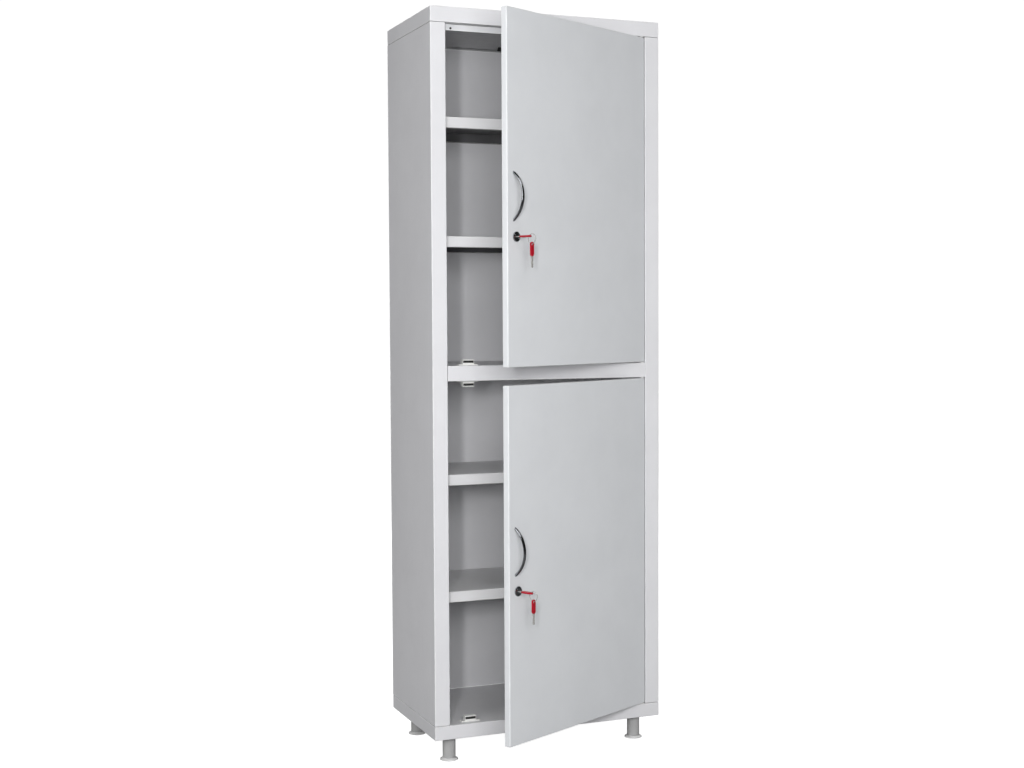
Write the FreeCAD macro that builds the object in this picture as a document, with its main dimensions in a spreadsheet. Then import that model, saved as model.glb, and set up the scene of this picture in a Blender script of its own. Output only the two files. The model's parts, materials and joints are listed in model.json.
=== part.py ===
import FreeCAD, Part, Sketcher
import os
import re

# Steel medicine cabinet on four legs: folded sheet carcass, two hinged pan doors, loose shelves.
# Millimetres. X to the right, front towards -Y, Z up, origin on the floor under the middle of the body.

# Driving dimensions, one cell of the sheet each.
DIMENSIONS = {
    # Carcass
    "body_wide": 570,
    "body_deep": 320,
    "body_tall": 1655,
    "leg_tall": 58,
    "sheet": 1,
    "cap_tall": 35,
    "base_tall": 32,
    "hem": 26,
    "ceiling_lap": 10,
    "stile_wide": 36,
    "reveal_deep": 14,
    "fold_gap": 0.2,
    "lower_opening": 785,
    "rail_tall": 35,
    "rail_return": 38,
    "divider_lip": 25,
    "stop_drop": 14,
    "stop_leg": 18,
    "buffer_from_stile": 18.5,
    "buffer_down": 9.5,
    "buffer_radius": 2.4,
    "buffer_thick": 2.5,
    "knob_from_middle": 17,
    "knob_from_back": 62,
    "knob_radius": 6.5,
    "knob_neck_radius": 4.5,
    "knob_drop": 8.5,
    "knob_lip_radius": 6,
    "knob_lip": 1.5,
    # Rivets of the carcass
    "rivet_radius": 2,
    "rivet_head_radius": 4,
    "rivet_head_tall": 1.5,
    "rivet_tail": 0.8,
    "rivet_from_side": 7,
    "rivet_from_end": 50,
    "back_rivet_rows": 6,
    "back_rivet_from_edge": 18,
    "hole_clear": 0.1,
    # Perforated strips, clips and shelves
    "strip_wide": 20,
    "strip_deep": 8,
    "strip_sheet": 1.2,
    "strip_end_gap": 20,
    "strip_from_front": 65,
    "strip_from_back": 45,
    "slot_wide": 10,
    "slot_tall": 4,
    "slot_pitch": 54,
    "slot_below_shelf": 6,
    "upper_first_slot": 53.5,
    "lower_first_slot": 58,
    "low_shelf_ratio": 0.31,
    "high_shelf_ratio": 0.7,
    "shelf_tall": 25,
    "shelf_setback": 40,
    "shelf_side_gap": 1.5,
    "shelf_back_gap": 3,
    "shelf_hem": 14,
    "clip_wide": 9,
    "clip_reach": 10,
    "clip_thick": 1.8,
    "clip_drop": 11,
    "clip_hook": 3.5,
    "slot_clear": 0.3,
    # Legs
    "leg_from_side": 48,
    "leg_from_front": 43,
    "leg_radius": 15,
    "leg_plate_wide": 92,
    "leg_plate_deep": 82,
    "leg_plate_thick": 2,
    "leg_bolt_radius": 4,
    "leg_bolt_head_radius": 6.5,
    "leg_bolt_head_tall": 5,
    "leg_bolt_long": 16,
    "foot_radius": 21,
    "foot_thick": 3,
    "foot_cone_tall": 2.4,
    "foot_gap": 0.3,
    "stem_radius": 5,
    "stem_long": 26,
    "run_clear": 0.05,
    # Magnetic catches
    "catch_from_stile": 56,
    "catch_wide": 27,
    "catch_ears_wide": 46,
    "catch_ear_thick": 2.5,
    "catch_deep": 16,
    "catch_tall": 13.5,
    "catch_gap": 0.3,
    "magnet_wide": 25,
    "magnet_deep": 5,
    "magnet_tall": 5.2,
    "magnet_up": 6,
    "magnet_proud": 0.5,
    "catch_screw_radius": 1.5,
    "catch_screw_head_radius": 3,
    "catch_screw_head_tall": 1.6,
    "catch_screw_long": 6,
    # Doors and their pivots
    "door_thick": 16,
    "door_return": 16,
    "hinge_gap": 2.7,
    "free_gap": 3,
    "door_end_gap": 2,
    "door_open": 27,
    "pivot_in": 4.3,
    "pivot_back": 5,
    "pin_radius": 3,
    "pin_out": 10,
    "pin_block_wide": 14,
    "pin_block_tall": 30,
    "collar_radius": 4.5,
    "bush_radius": 4,
    "bush_flange_radius": 4.8,
    "bush_flange": 1.2,
    "bush_long": 8,
    "bearing_clear": 0.1,
    "stiffener_wide": 60,
    "stiffener_gap": 1.5,
    # Handles
    "upper_handle_up": 365,
    "lower_handle_up": 422,
    "handle_span": 100,
    "handle_rise": 26,
    "handle_rod_radius": 3.2,
    "handle_backset": 21,
    "handle_screw_spacing": 96,
    "handle_screw_radius": 1.5,
    "handle_screw_head_radius": 3.2,
    "handle_screw_head_tall": 2.2,
    "handle_screw_grip": 5,
    # Cam locks
    "lock_backset": 28,
    "lock_drop": 86,
    "lock_face_radius": 11,
    "lock_face_thick": 3,
    "barrel_radius": 9.5,
    "nut_radius": 13,
    "nut_thick": 4,
    "plug_radius": 6,
    "plug_square": 6,
    "cam_gap": 0.4,
    "cam_long": 45,
    "cam_wide": 16,
    "cam_thick": 2,
    "cam_screw_radius": 2,
    "cam_screw_head_radius": 5,
    "cam_screw_head_tall": 2.5,
    "cam_screw_long": 3,
    # Keys
    "key_blade_wide": 6.4,
    "key_blade_thick": 1.9,
    "key_blade_in": 14,
    "key_neck": 7.5,
    "key_tang": 8,
    "key_head_long": 31,
    "key_head_wide": 10.4,
    "key_head_thick": 4,
    "key_hole_radius": 2.7,
    "key_hole_from_end": 5.5,
    "spare_blade_long": 24,
    "ring_radius": 10.5,
    "ring_wire_radius": 0.6,
    "ring_out": 8,
    "ring_down": 6,
    "spare_hang": 1.45,
    "key_clear": 0.1,
}

# Levels and places worked out from the driving dimensions.
DERIVED = {
    "left": "-body_wide / 2",
    "right": "body_wide / 2",
    "front": "-body_deep / 2",
    "back": "body_deep / 2",
    "base_top": "leg_tall + base_tall",
    "cap_bottom": "leg_tall + body_tall - cap_tall",
    "body_top": "leg_tall + body_tall",
    "rail_bottom": "base_top + lower_opening",
    "rail_top": "rail_bottom + rail_tall",
    "stile_edge": "body_wide / 2 - stile_wide",
    "inner_side": "body_wide / 2 - sheet",
    "strip_face": "inner_side - strip_deep",
    "shelf_half": "strip_face - shelf_side_gap",
    "upper_slots": "floor((cap_bottom - rail_top - strip_end_gap - upper_first_slot) / slot_pitch) + 1",
    "lower_slots": "floor((lower_opening - strip_end_gap - lower_first_slot) / slot_pitch) + 1",
    "door_back": "front + door_thick",
    "stop_front": "door_back + catch_gap + buffer_thick",
    "catch_x": "-stile_edge + catch_from_stile",
    "catch_front": "door_back + catch_gap",
    "catch_ear_x": "catch_wide / 4 + catch_ears_wide / 4",
    "leg_x": "body_wide / 2 - leg_from_side",
    "leg_y": "body_deep / 2 - leg_from_front",
    "leg_top": "leg_tall + sheet",
    "foot_top": "foot_thick + foot_cone_tall",
    "door_wide": "2 * stile_edge - hinge_gap - free_gap",
    "hinge_x": "stile_edge - hinge_gap - pivot_in",
    "hinge_y": "front + pivot_back",
    "upper_door_tall": "cap_bottom - rail_top - 2 * door_end_gap",
    "lower_door_tall": "lower_opening - 2 * door_end_gap",
    # Places on a door, from its pivot axis at its bottom edge, with the door shut
    "face": "-pivot_back",
    "skin": "face + sheet",
    "inner": "face + door_thick",
    "free_edge": "pivot_in - door_wide",
    "lock_x": "free_edge + lock_backset",
    "handle_x": "free_edge + handle_backset",
    "bow_radius": "(handle_span * handle_span / 4 + handle_rise * handle_rise) / (2 * handle_rise)",
    "bow_centre": "face - handle_rise + bow_radius",
    "lock_front": "face - lock_face_thick",
    "cam_front": "inner + cam_gap",
    "cam_back": "cam_front + cam_thick",
    "head_back": "lock_front - key_neck",
    "head_front": "head_back - key_head_long",
    "ring_hole_y": "head_front + key_hole_from_end",
    "ring_y": "ring_hole_y - ring_out",
    "spare_hole_drop": "ring_down + ring_radius + spare_hang",
    "spare_top": "key_hole_from_end - spare_hole_drop",
    "spare_bottom": "spare_top - key_head_long",
}

UP = FreeCAD.Vector(0, 0, 1)
TURNS = {
    "X": FreeCAD.Rotation(FreeCAD.Vector(0, 1, 0), 90),
    "Y": FreeCAD.Rotation(FreeCAD.Vector(1, 0, 0), -90),
    "Z": FreeCAD.Rotation(UP, 0),
}

doc = FreeCAD.newDocument("MedicineCabinet")
sizes = doc.addObject("Spreadsheet::Sheet", "Dim")
for row, (name, value) in enumerate(DIMENSIONS.items(), start=1):
    sizes.set(f"A{row}", name)
    sizes.set(f"B{row}", str(value))
    sizes.setAlias(f"B{row}", name)
doc.recompute()

nodes = []


def tied(text):
    """Expression with each size written as a cell of the sheet and each derived place written out."""
    def cell(match):
        word = match.group(0)
        if word in DERIVED:
            return "(" + tied(DERIVED[word]) + ")"
        return "Dim." + word if word in DIMENSIONS else word
    return re.sub(r"[a-z_]+", cell, str(text))


def bind(thing, **expressions):
    for name, text in expressions.items():
        thing.setExpression(name, tied(text))


def put(thing, x, y, z):
    for axis, text in zip("xyz", (x, y, z)):
        thing.setExpression(f"Placement.Base.{axis}", tied(text))


def slab(x, y, z):
    """Box between two places on each axis, each given as a pair of expressions."""
    block = doc.addObject("Part::Box", "Slab")
    bind(block, Length=f"({x[1]}) - ({x[0]})", Width=f"({y[1]}) - ({y[0]})", Height=f"({z[1]}) - ({z[0]})")
    put(block, x[0], y[0], z[0])
    return block


def rod(radius, axis, span, across):
    """Cylinder along an axis between the two places of span; across holds its other two coordinates."""
    bar = doc.addObject("Part::Cylinder", "Rod")
    bar.Placement.Rotation = TURNS[axis]
    bind(bar, Radius=radius, Height=f"({span[1]}) - ({span[0]})")
    place = list(across)
    place.insert("XYZ".index(axis), span[0])
    put(bar, *place)
    return bar


def joined(*solids):
    union = doc.addObject("Part::MultiFuse", "Joined")
    union.Shapes = list(solids)
    union.Refine = True
    return union


def cut(base, *tools):
    difference = doc.addObject("Part::Cut", "Cut")
    difference.Base = base
    difference.Tool = tools[0] if len(tools) == 1 else joined(*tools)
    difference.Refine = True
    return difference


def group(*solids):
    bundle = doc.addObject("Part::Compound", "Group")
    bundle.Links = list(solids)
    return bundle


def mirror(source):
    copy = doc.addObject("Part::Mirroring", "Mirror")
    copy.Source = source
    copy.Normal = FreeCAD.Vector(1, 0, 0)
    return copy


def node(label, thing):
    thing.Label = label
    nodes.append(thing)
    return thing


def widened(pair, by):
    return (f"{pair[0]} - {by}", f"{pair[1]} + {by}")


def both(half):
    return (f"-({half})", half)


# Rivets through the cap or base and the flange of a side panel
def rivet_places():
    for x in ("left + rivet_from_side", "right - rivet_from_side"):
        for y in ("front + rivet_from_end", "back - rivet_from_end"):
            yield x, y


def rivet_holes(z):
    return [rod("rivet_radius + hole_clear", "Z", (f"{z} - 2 * sheet", f"{z} + 2 * sheet"), place)
            for place in rivet_places()]


def back_rivet_heights():
    step = "(cap_bottom - base_top - 2 * rivet_from_end) / (back_rivet_rows - 1)"
    for index in range(DIMENSIONS["back_rivet_rows"]):
        yield f"base_top + rivet_from_end + {index} * {step}"


def back_rivet_holes(x):
    return [rod("rivet_radius + hole_clear", "Y", ("back - 3 * sheet", "back + sheet"), (x, z))
            for z in back_rivet_heights()]


def frame_rivets():
    rivets = []
    for place in rivet_places():
        foot, tip = "cap_bottom - sheet - rivet_head_tall", "cap_bottom + sheet + rivet_tail"
        rivets.append(joined(rod("rivet_head_radius", "Z", (foot, "cap_bottom - sheet"), place),
                             rod("rivet_radius", "Z", (foot, tip), place)))
        foot, tip = "base_top + sheet + rivet_head_tall", "base_top - sheet - rivet_tail"
        rivets.append(joined(rod("rivet_head_radius", "Z", ("base_top + sheet", foot), place),
                             rod("rivet_radius", "Z", (tip, foot), place)))
    node("frame_rivets", group(*rivets))


def back_rivets():
    rivets = []
    for x in ("left + back_rivet_from_edge", "right - back_rivet_from_edge"):
        for z in back_rivet_heights():
            head_span = ("back - 2 * sheet - rivet_head_tall", "back - 2 * sheet")
            head = rod("rivet_head_radius", "Y", head_span, (x, z))
            shank = rod("rivet_radius", "Y", ("back - 2 * sheet - rivet_head_tall", "back"), (x, z))
            rivets.append(joined(head, shank))
    node("back_rivets", group(*rivets))


# Carcass
def bush_hole(z):
    through = (f"{z} - 2 * sheet", f"{z} + 2 * sheet")
    return rod("bush_radius + hole_clear", "Z", through, ("hinge_x", "hinge_y"))


def tray(z_low, z_high):
    """Blocks of a tray over the whole footprint: its outside, its hollow and the mouth inside its hems."""
    outside = slab(("left", "right"), ("front", "back"), (z_low, z_high))
    hollow = slab(("left + sheet", "right - sheet"), ("front + sheet", "back - sheet"),
                  (f"{z_low} + sheet", f"{z_high} - sheet"))
    mouth = slab(("left + hem", "right - hem"), ("front + hem", "back - hem"),
                 (f"{z_low} - sheet", f"{z_low} + 2 * sheet"))
    return outside, hollow, mouth


def top_cap():
    outside, hollow, mouth = tray("cap_bottom", "body_top")
    node("top_cap", cut(outside, hollow, mouth, bush_hole("cap_bottom"), *rivet_holes("cap_bottom")))
    across = both("body_wide / 2 - hem + ceiling_lap")
    deep = both("body_deep / 2 - hem + ceiling_lap")
    plate = slab(across, deep, ("cap_bottom + sheet", "cap_bottom + 2 * sheet"))
    node("ceiling_panel", cut(plate, rod("knob_neck_radius + hole_clear", "Z", ("cap_bottom", "body_top - sheet"),
                                         knob_place())))


def knob_place():
    return "-knob_from_middle", "back - knob_from_back"


def ceiling_knob():
    """Rubber knob that hangs from the ceiling panel, its neck in a hole and its lip on top."""
    x, y = knob_place()
    under, over = "cap_bottom + sheet", "cap_bottom + 2 * sheet"
    bell = doc.addObject("Part::Cone", "KnobBell")
    bind(bell, Radius1="knob_radius", Radius2="knob_neck_radius", Height="knob_drop")
    put(bell, x, y, f"{under} - knob_drop")
    neck = rod("knob_neck_radius", "Z", (under, over), (x, y))
    lip = rod("knob_lip_radius", "Z", (over, f"{over} + knob_lip"), (x, y))
    node("ceiling_knob", joined(bell, neck, lip))


def door_stop():
    across = both("stile_edge - fold_gap")
    drop = slab(across, ("stop_front", "stop_front + sheet"), ("cap_bottom - stop_drop", "cap_bottom"))
    leg = slab(across, ("stop_front", "stop_front + stop_leg"), ("cap_bottom - sheet", "cap_bottom"))
    node("door_stop_strip", joined(drop, leg))
    pad = rod("buffer_radius", "Y", ("stop_front - buffer_thick", "stop_front"),
              ("-stile_edge + buffer_from_stile", "cap_bottom - buffer_down"))
    node("door_buffer", pad)


def base_tray():
    outside, hollow, mouth = tray("leg_tall", "base_top")
    screws = catch_screw_holes("base_top - 2 * sheet", "base_top + sheet")
    legs_through = [rod("leg_radius + hole_clear", "Z", ("leg_tall - sheet", "leg_tall + 2 * sheet"), (x, y))
                    for name, x, y, x_span, y_span in leg_places()]
    node("base_tray", cut(outside, hollow, mouth, bush_hole("base_top"), *rivet_holes("base_top"), *screws,
                          *legs_through))


def side_panels():
    outside = slab(("left", "left + stile_wide"), ("front", "back - sheet"), ("base_top", "cap_bottom"))
    hollow = slab(("left + sheet", "left + stile_wide - sheet"), ("front + sheet", "back - 2 * sheet"),
                  ("base_top + sheet", "cap_bottom - sheet"))
    mouth = slab(("left + stile_wide - 2 * sheet", "left + stile_wide + sheet"),
                 ("front + reveal_deep", "back - 2 * sheet"), ("base_top + sheet", "cap_bottom - sheet"))
    left = cut(outside, hollow, mouth, *rivet_holes("base_top"), *rivet_holes("cap_bottom"),
               *back_rivet_holes("left + back_rivet_from_edge"))
    node("left_side_panel", left)
    node("right_side_panel", mirror(left))


def back_panel():
    plate = slab(("left", "right"), ("back - sheet", "back"), ("base_top", "cap_bottom"))
    rivets = [hole for x in ("left + back_rivet_from_edge", "right - back_rivet_from_edge")
              for hole in back_rivet_holes(x)]
    node("back_panel", cut(plate, *rivets))


def middle_divider():
    across = both("stile_edge - fold_gap")
    rail = slab(across, ("front", "front + rail_return"), ("rail_bottom", "rail_top"))
    rail_hollow = slab(widened(across, "sheet"), ("front + sheet", "front + rail_return + sheet"),
                       ("rail_bottom + sheet", "rail_top - sheet"))
    wide = both("inner_side - fold_gap")
    deep = ("front + reveal_deep + fold_gap", "back - 2 * sheet - fold_gap")
    shelf = slab(wide, deep, ("rail_top - divider_lip", "rail_top"))
    shelf_hollow = slab(both("inner_side - fold_gap - sheet"), (f"{deep[0]} - sheet", f"{deep[1]} - sheet"),
                        ("rail_top - divider_lip - sheet", "rail_top - sheet"))
    holes = catch_screw_holes("rail_top - 2 * sheet", "rail_top + sheet")
    holes += catch_screw_holes("rail_bottom - sheet", "rail_bottom + 2 * sheet")
    node("middle_divider", cut(joined(rail, shelf), rail_hollow, shelf_hollow, bush_hole("rail_top"),
                               bush_hole("rail_bottom"), *holes))


# Shelf strips, clips and shelves
def strip_middles():
    return "front + strip_from_front", "back - strip_from_back"


def shelf_strip(name, y, z_low, z_high, first_slot, slots):
    """Channel strip on the left wall, open towards the wall, its web pierced by a row of slots."""
    body = doc.addObject("PartDesign::Body", name)
    planes = {plane.Role: plane for plane in body.Origin.OriginFeatures}
    profile = body.newObject("Sketcher::SketchObject", name + "Profile")
    profile.AttachmentSupport = [(planes["XY_Plane"], "")]
    profile.MapMode = "FlatFace"
    # Outline of the channel from above: x from the wall, y from the strip's middle
    outline = [("0", "-strip_wide / 2"), ("strip_deep", "-strip_wide / 2"),
               ("strip_deep", "strip_wide / 2"), ("0", "strip_wide / 2"),
               ("0", "strip_wide / 2 - strip_sheet"),
               ("strip_deep - strip_sheet", "strip_wide / 2 - strip_sheet"),
               ("strip_deep - strip_sheet", "-strip_wide / 2 + strip_sheet"),
               ("0", "-strip_wide / 2 + strip_sheet")]
    sketch_outline(profile, outline)
    pad = body.newObject("PartDesign::Pad", name + "Pad")
    pad.Profile = profile
    bind(pad, Length=f"({z_high}) - ({z_low})")
    doc.recompute()
    opening = body.newObject("Sketcher::SketchObject", name + "Slot")
    opening.AttachmentSupport = [(planes["YZ_Plane"], "")]
    opening.MapMode = "FlatFace"
    middle = f"({first_slot} - slot_below_shelf - strip_end_gap)"
    sketch_outline(opening, [("-slot_wide / 2", f"{middle} - slot_tall / 2"),
                             ("slot_wide / 2", f"{middle} - slot_tall / 2"),
                             ("slot_wide / 2", f"{middle} + slot_tall / 2"),
                             ("-slot_wide / 2", f"{middle} + slot_tall / 2")])
    pocket = body.newObject("PartDesign::Pocket", name + "Pocket")
    pocket.Profile = opening
    pocket.Reversed = True
    bind(pocket, Length="strip_deep + sheet")
    doc.recompute()
    pattern = body.newObject("PartDesign::LinearPattern", name + "Pattern")
    pattern.Originals = [pocket]
    pattern.Direction = (profile, ["N_Axis"])
    bind(pattern, Length=f"slot_pitch * ({slots} - 1)", Occurrences=slots)
    body.Tip = pattern
    put(body, "left + sheet", y, z_low)
    doc.recompute()
    return body


def sketch_outline(sketch, points):
    """Closed outline of straight lines whose corners are held at expressions of the sizes."""
    count = len(points)
    spots = [FreeCAD.Vector(index, index * index, 0) for index in range(count)]
    for index in range(count):
        sketch.addGeometry(Part.LineSegment(spots[index], spots[(index + 1) % count]))
    for index in range(count):
        sketch.addConstraint(Sketcher.Constraint("Coincident", index, 2, (index + 1) % count, 1))
    for index, (x, y) in enumerate(points):
        for kind, text in (("DistanceX", x), ("DistanceY", y)):
            number = sketch.addConstraint(Sketcher.Constraint(kind, -1, 1, index, 1, 1.0))
            sketch.setExpression(f"Constraints[{number}]", tied(text))


def shelf_strips():
    strips = []
    for index, y in enumerate(strip_middles()):
        strips.append(shelf_strip(f"UpperStrip{index}", y, "rail_top + strip_end_gap",
                                  "cap_bottom - strip_end_gap", "upper_first_slot", "upper_slots"))
        strips.append(shelf_strip(f"LowerStrip{index}", y, "base_top + strip_end_gap",
                                  "rail_bottom - strip_end_gap", "lower_first_slot", "lower_slots"))
    left = group(*strips)
    node("left_shelf_strips", left)
    node("right_shelf_strips", mirror(left))


def shelf_levels():
    """Name and underside height of each loose shelf, a whole number of slots up its compartment."""
    for part, floor in (("upper", "rail_top"), ("lower", "base_top")):
        for place in ("high", "low"):
            step = f"floor({part}_slots * {place}_shelf_ratio)"
            yield f"{part}_shelf_{place}", f"{floor} + {part}_first_slot + slot_pitch * {step}"


def shelves():
    deep = ("front + shelf_setback", "back - 2 * sheet - shelf_back_gap")
    for name, z in shelf_levels():
        top = f"{z} + shelf_tall"
        outside = slab(both("shelf_half"), deep, (z, top))
        hollow = slab(both("shelf_half - sheet"), (f"{deep[0]} + sheet", f"{deep[1]} - sheet"),
                      (f"{z} + sheet", f"{top} - sheet"))
        mouth = slab(both("shelf_half - shelf_hem"), (f"{deep[0]} + shelf_hem", f"{deep[1]} - shelf_hem"),
                     (f"{z} - sheet", f"{z} + 2 * sheet"))
        node(name, cut(outside, hollow, mouth))


def shelf_clips():
    """Angle clips: a plate on the strip, a ledge under the shelf and a hook through a slot."""
    left_clips = []
    for name, z in shelf_levels():
        for y in strip_middles():
            across = (f"{y} - clip_wide / 2", f"{y} + clip_wide / 2")
            plate = slab(("-strip_face", "-strip_face + shelf_side_gap"), across, (f"{z} - clip_drop", z))
            ledge = slab(("-strip_face", "-strip_face + clip_reach"), across, (f"{z} - clip_thick", z))
            hook_half = "slot_tall / 2 - slot_clear"
            hook = slab(("-strip_face - clip_hook", "-strip_face"), across,
                        (f"{z} - slot_below_shelf - ({hook_half})", f"{z} - slot_below_shelf + {hook_half}"))
            left_clips.append(joined(plate, ledge, hook))
    left = group(*left_clips)
    node("shelf_clips", group(left, mirror(left)))


# Legs
def leg_places():
    """Name, middle and plate edges of each leg; the plates lie in the corners of the base tray."""
    sides = {"left": ("-leg_x", ("left + sheet + fold_gap", "left + sheet + fold_gap + leg_plate_wide")),
             "right": ("leg_x", ("right - sheet - fold_gap - leg_plate_wide", "right - sheet - fold_gap"))}
    depths = {"front": ("-leg_y", ("front + sheet + fold_gap", "front + sheet + fold_gap + leg_plate_deep")),
              "back": ("leg_y", ("back - sheet - fold_gap - leg_plate_deep", "back - sheet - fold_gap"))}
    for depth, (y, y_span) in depths.items():
        for side, (x, x_span) in sides.items():
            yield f"{depth}_{side}", x, y, x_span, y_span


def legs():
    plates, tubes, bolts = [], [], []
    for name, x, y, x_span, y_span in leg_places():
        plate = slab(x_span, y_span, ("leg_top", "leg_top + leg_plate_thick"))
        plates.append(cut(plate, rod("leg_bolt_radius + hole_clear", "Z",
                                     ("leg_top - sheet", "leg_top + leg_plate_thick + sheet"), (x, y))))
        tube = rod("leg_radius", "Z", ("foot_top + foot_gap", "leg_top"), (x, y))
        stem_bore = rod("stem_radius + run_clear", "Z", ("foot_top", "foot_top + foot_gap + stem_long"),
                        (x, y))
        bolt_bore = rod("leg_bolt_radius + hole_clear", "Z", ("leg_top - leg_bolt_long - hole_clear",
                                                             "leg_top + sheet"), (x, y))
        tubes.append(cut(tube, stem_bore, bolt_bore))
        seat = "leg_top + leg_plate_thick"
        head = rod("leg_bolt_head_radius", "Z", (seat, f"{seat} + leg_bolt_head_tall"), (x, y))
        shank = rod("leg_bolt_radius", "Z", ("leg_top - leg_bolt_long", f"{seat} + leg_bolt_head_tall"),
                    (x, y))
        bolts.append(joined(head, shank))
        disc = rod("foot_radius", "Z", ("0", "foot_thick"), (x, y))
        cone = doc.addObject("Part::Cone", "FootCone")
        bind(cone, Radius1="foot_radius", Radius2="leg_radius", Height="foot_cone_tall")
        put(cone, x, y, "foot_thick")
        stem = rod("stem_radius", "Z", ("foot_thick", "foot_top + stem_long"), (x, y))
        node(f"foot_{name}", joined(disc, cone, stem))
    node("leg_plates", group(*plates))
    node("leg_tubes", group(*tubes))
    node("leg_bolts", group(*bolts))


# Magnetic catches
def catch_ear_places():
    return "catch_x - catch_ear_x", "catch_x + catch_ear_x"


def catch_screw_holes(z_low, z_high):
    return [rod("catch_screw_radius + hole_clear", "Z", (z_low, z_high), (x, "catch_front + catch_deep / 2"))
            for x in catch_ear_places()]


def catch(seat, way):
    """Catch standing up from its seat, or hanging down where way is minus."""
    def rise(low, high):
        if way == "+":
            return (f"{seat} + {low}", f"{seat} + {high}")
        return (f"{seat} - ({high})", f"{seat} - ({low})")
    deep = ("catch_front + magnet_proud", "catch_front + catch_deep")
    shell = slab(("catch_x - catch_wide / 2", "catch_x + catch_wide / 2"), deep, rise("0", "catch_tall"))
    ears = slab(("catch_x - catch_ears_wide / 2", "catch_x + catch_ears_wide / 2"), deep,
                rise("0", "catch_ear_thick"))
    low, high = "magnet_up", "(magnet_up + magnet_tall)"
    magnet_x = ("catch_x - magnet_wide / 2", "catch_x + magnet_wide / 2")
    magnet_y = ("catch_front", "catch_front + magnet_deep")
    pocket = slab(widened(magnet_x, "hole_clear"), widened(magnet_y, "hole_clear"),
                  rise(f"{low} - hole_clear", f"{high} + hole_clear"))
    holes = [rod("catch_screw_radius + hole_clear", "Z", rise("-sheet", "catch_ear_thick + sheet"),
                 (x, "catch_front + catch_deep / 2")) for x in catch_ear_places()]
    housing = cut(joined(shell, ears), pocket, *holes)
    magnet = slab(magnet_x, magnet_y, rise(low, high))
    screws = []
    for x in catch_ear_places():
        middle = (x, "catch_front + catch_deep / 2")
        top = "catch_ear_thick + catch_screw_head_tall"
        head = rod("catch_screw_head_radius", "Z", rise("catch_ear_thick", top), middle)
        shank = rod("catch_screw_radius", "Z", rise("catch_ear_thick - catch_screw_long", top), middle)
        screws.append(joined(head, shank))
    return housing, magnet, screws


def catches():
    housings, magnets, screws = [], [], []
    for seat, way in (("rail_top", "+"), ("rail_bottom", "-"), ("base_top", "+")):
        housing, magnet, pair = catch(seat, way)
        housings.append(housing)
        magnets.append(magnet)
        screws += pair
    node("catch_housings", group(*housings))
    node("catch_magnets", group(*magnets))
    node("catch_screws", group(*screws))


def hinge_bushes():
    """Flanged sleeves in the plates above and below each door, flange towards the door."""
    middle = ("hinge_x", "hinge_y")
    bushes = []
    for plate, way in (("base_top", "+"), ("rail_bottom", "-"), ("rail_top", "+"), ("cap_bottom", "-")):
        if way == "+":
            flange_span = (plate, f"{plate} + bush_flange")
            sleeve_span = (f"{plate} - bush_long", f"{plate} + bush_flange")
        else:
            flange_span = (f"{plate} - bush_flange", plate)
            sleeve_span = (f"{plate} - bush_flange", f"{plate} + bush_long")
        flange = rod("bush_flange_radius", "Z", flange_span, middle)
        sleeve = rod("bush_radius", "Z", sleeve_span, middle)
        bore = rod("pin_radius + run_clear", "Z", widened(sleeve_span, "sheet"), middle)
        bushes.append(cut(joined(flange, sleeve), bore))
    node("hinge_bushes", group(*bushes))


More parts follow.
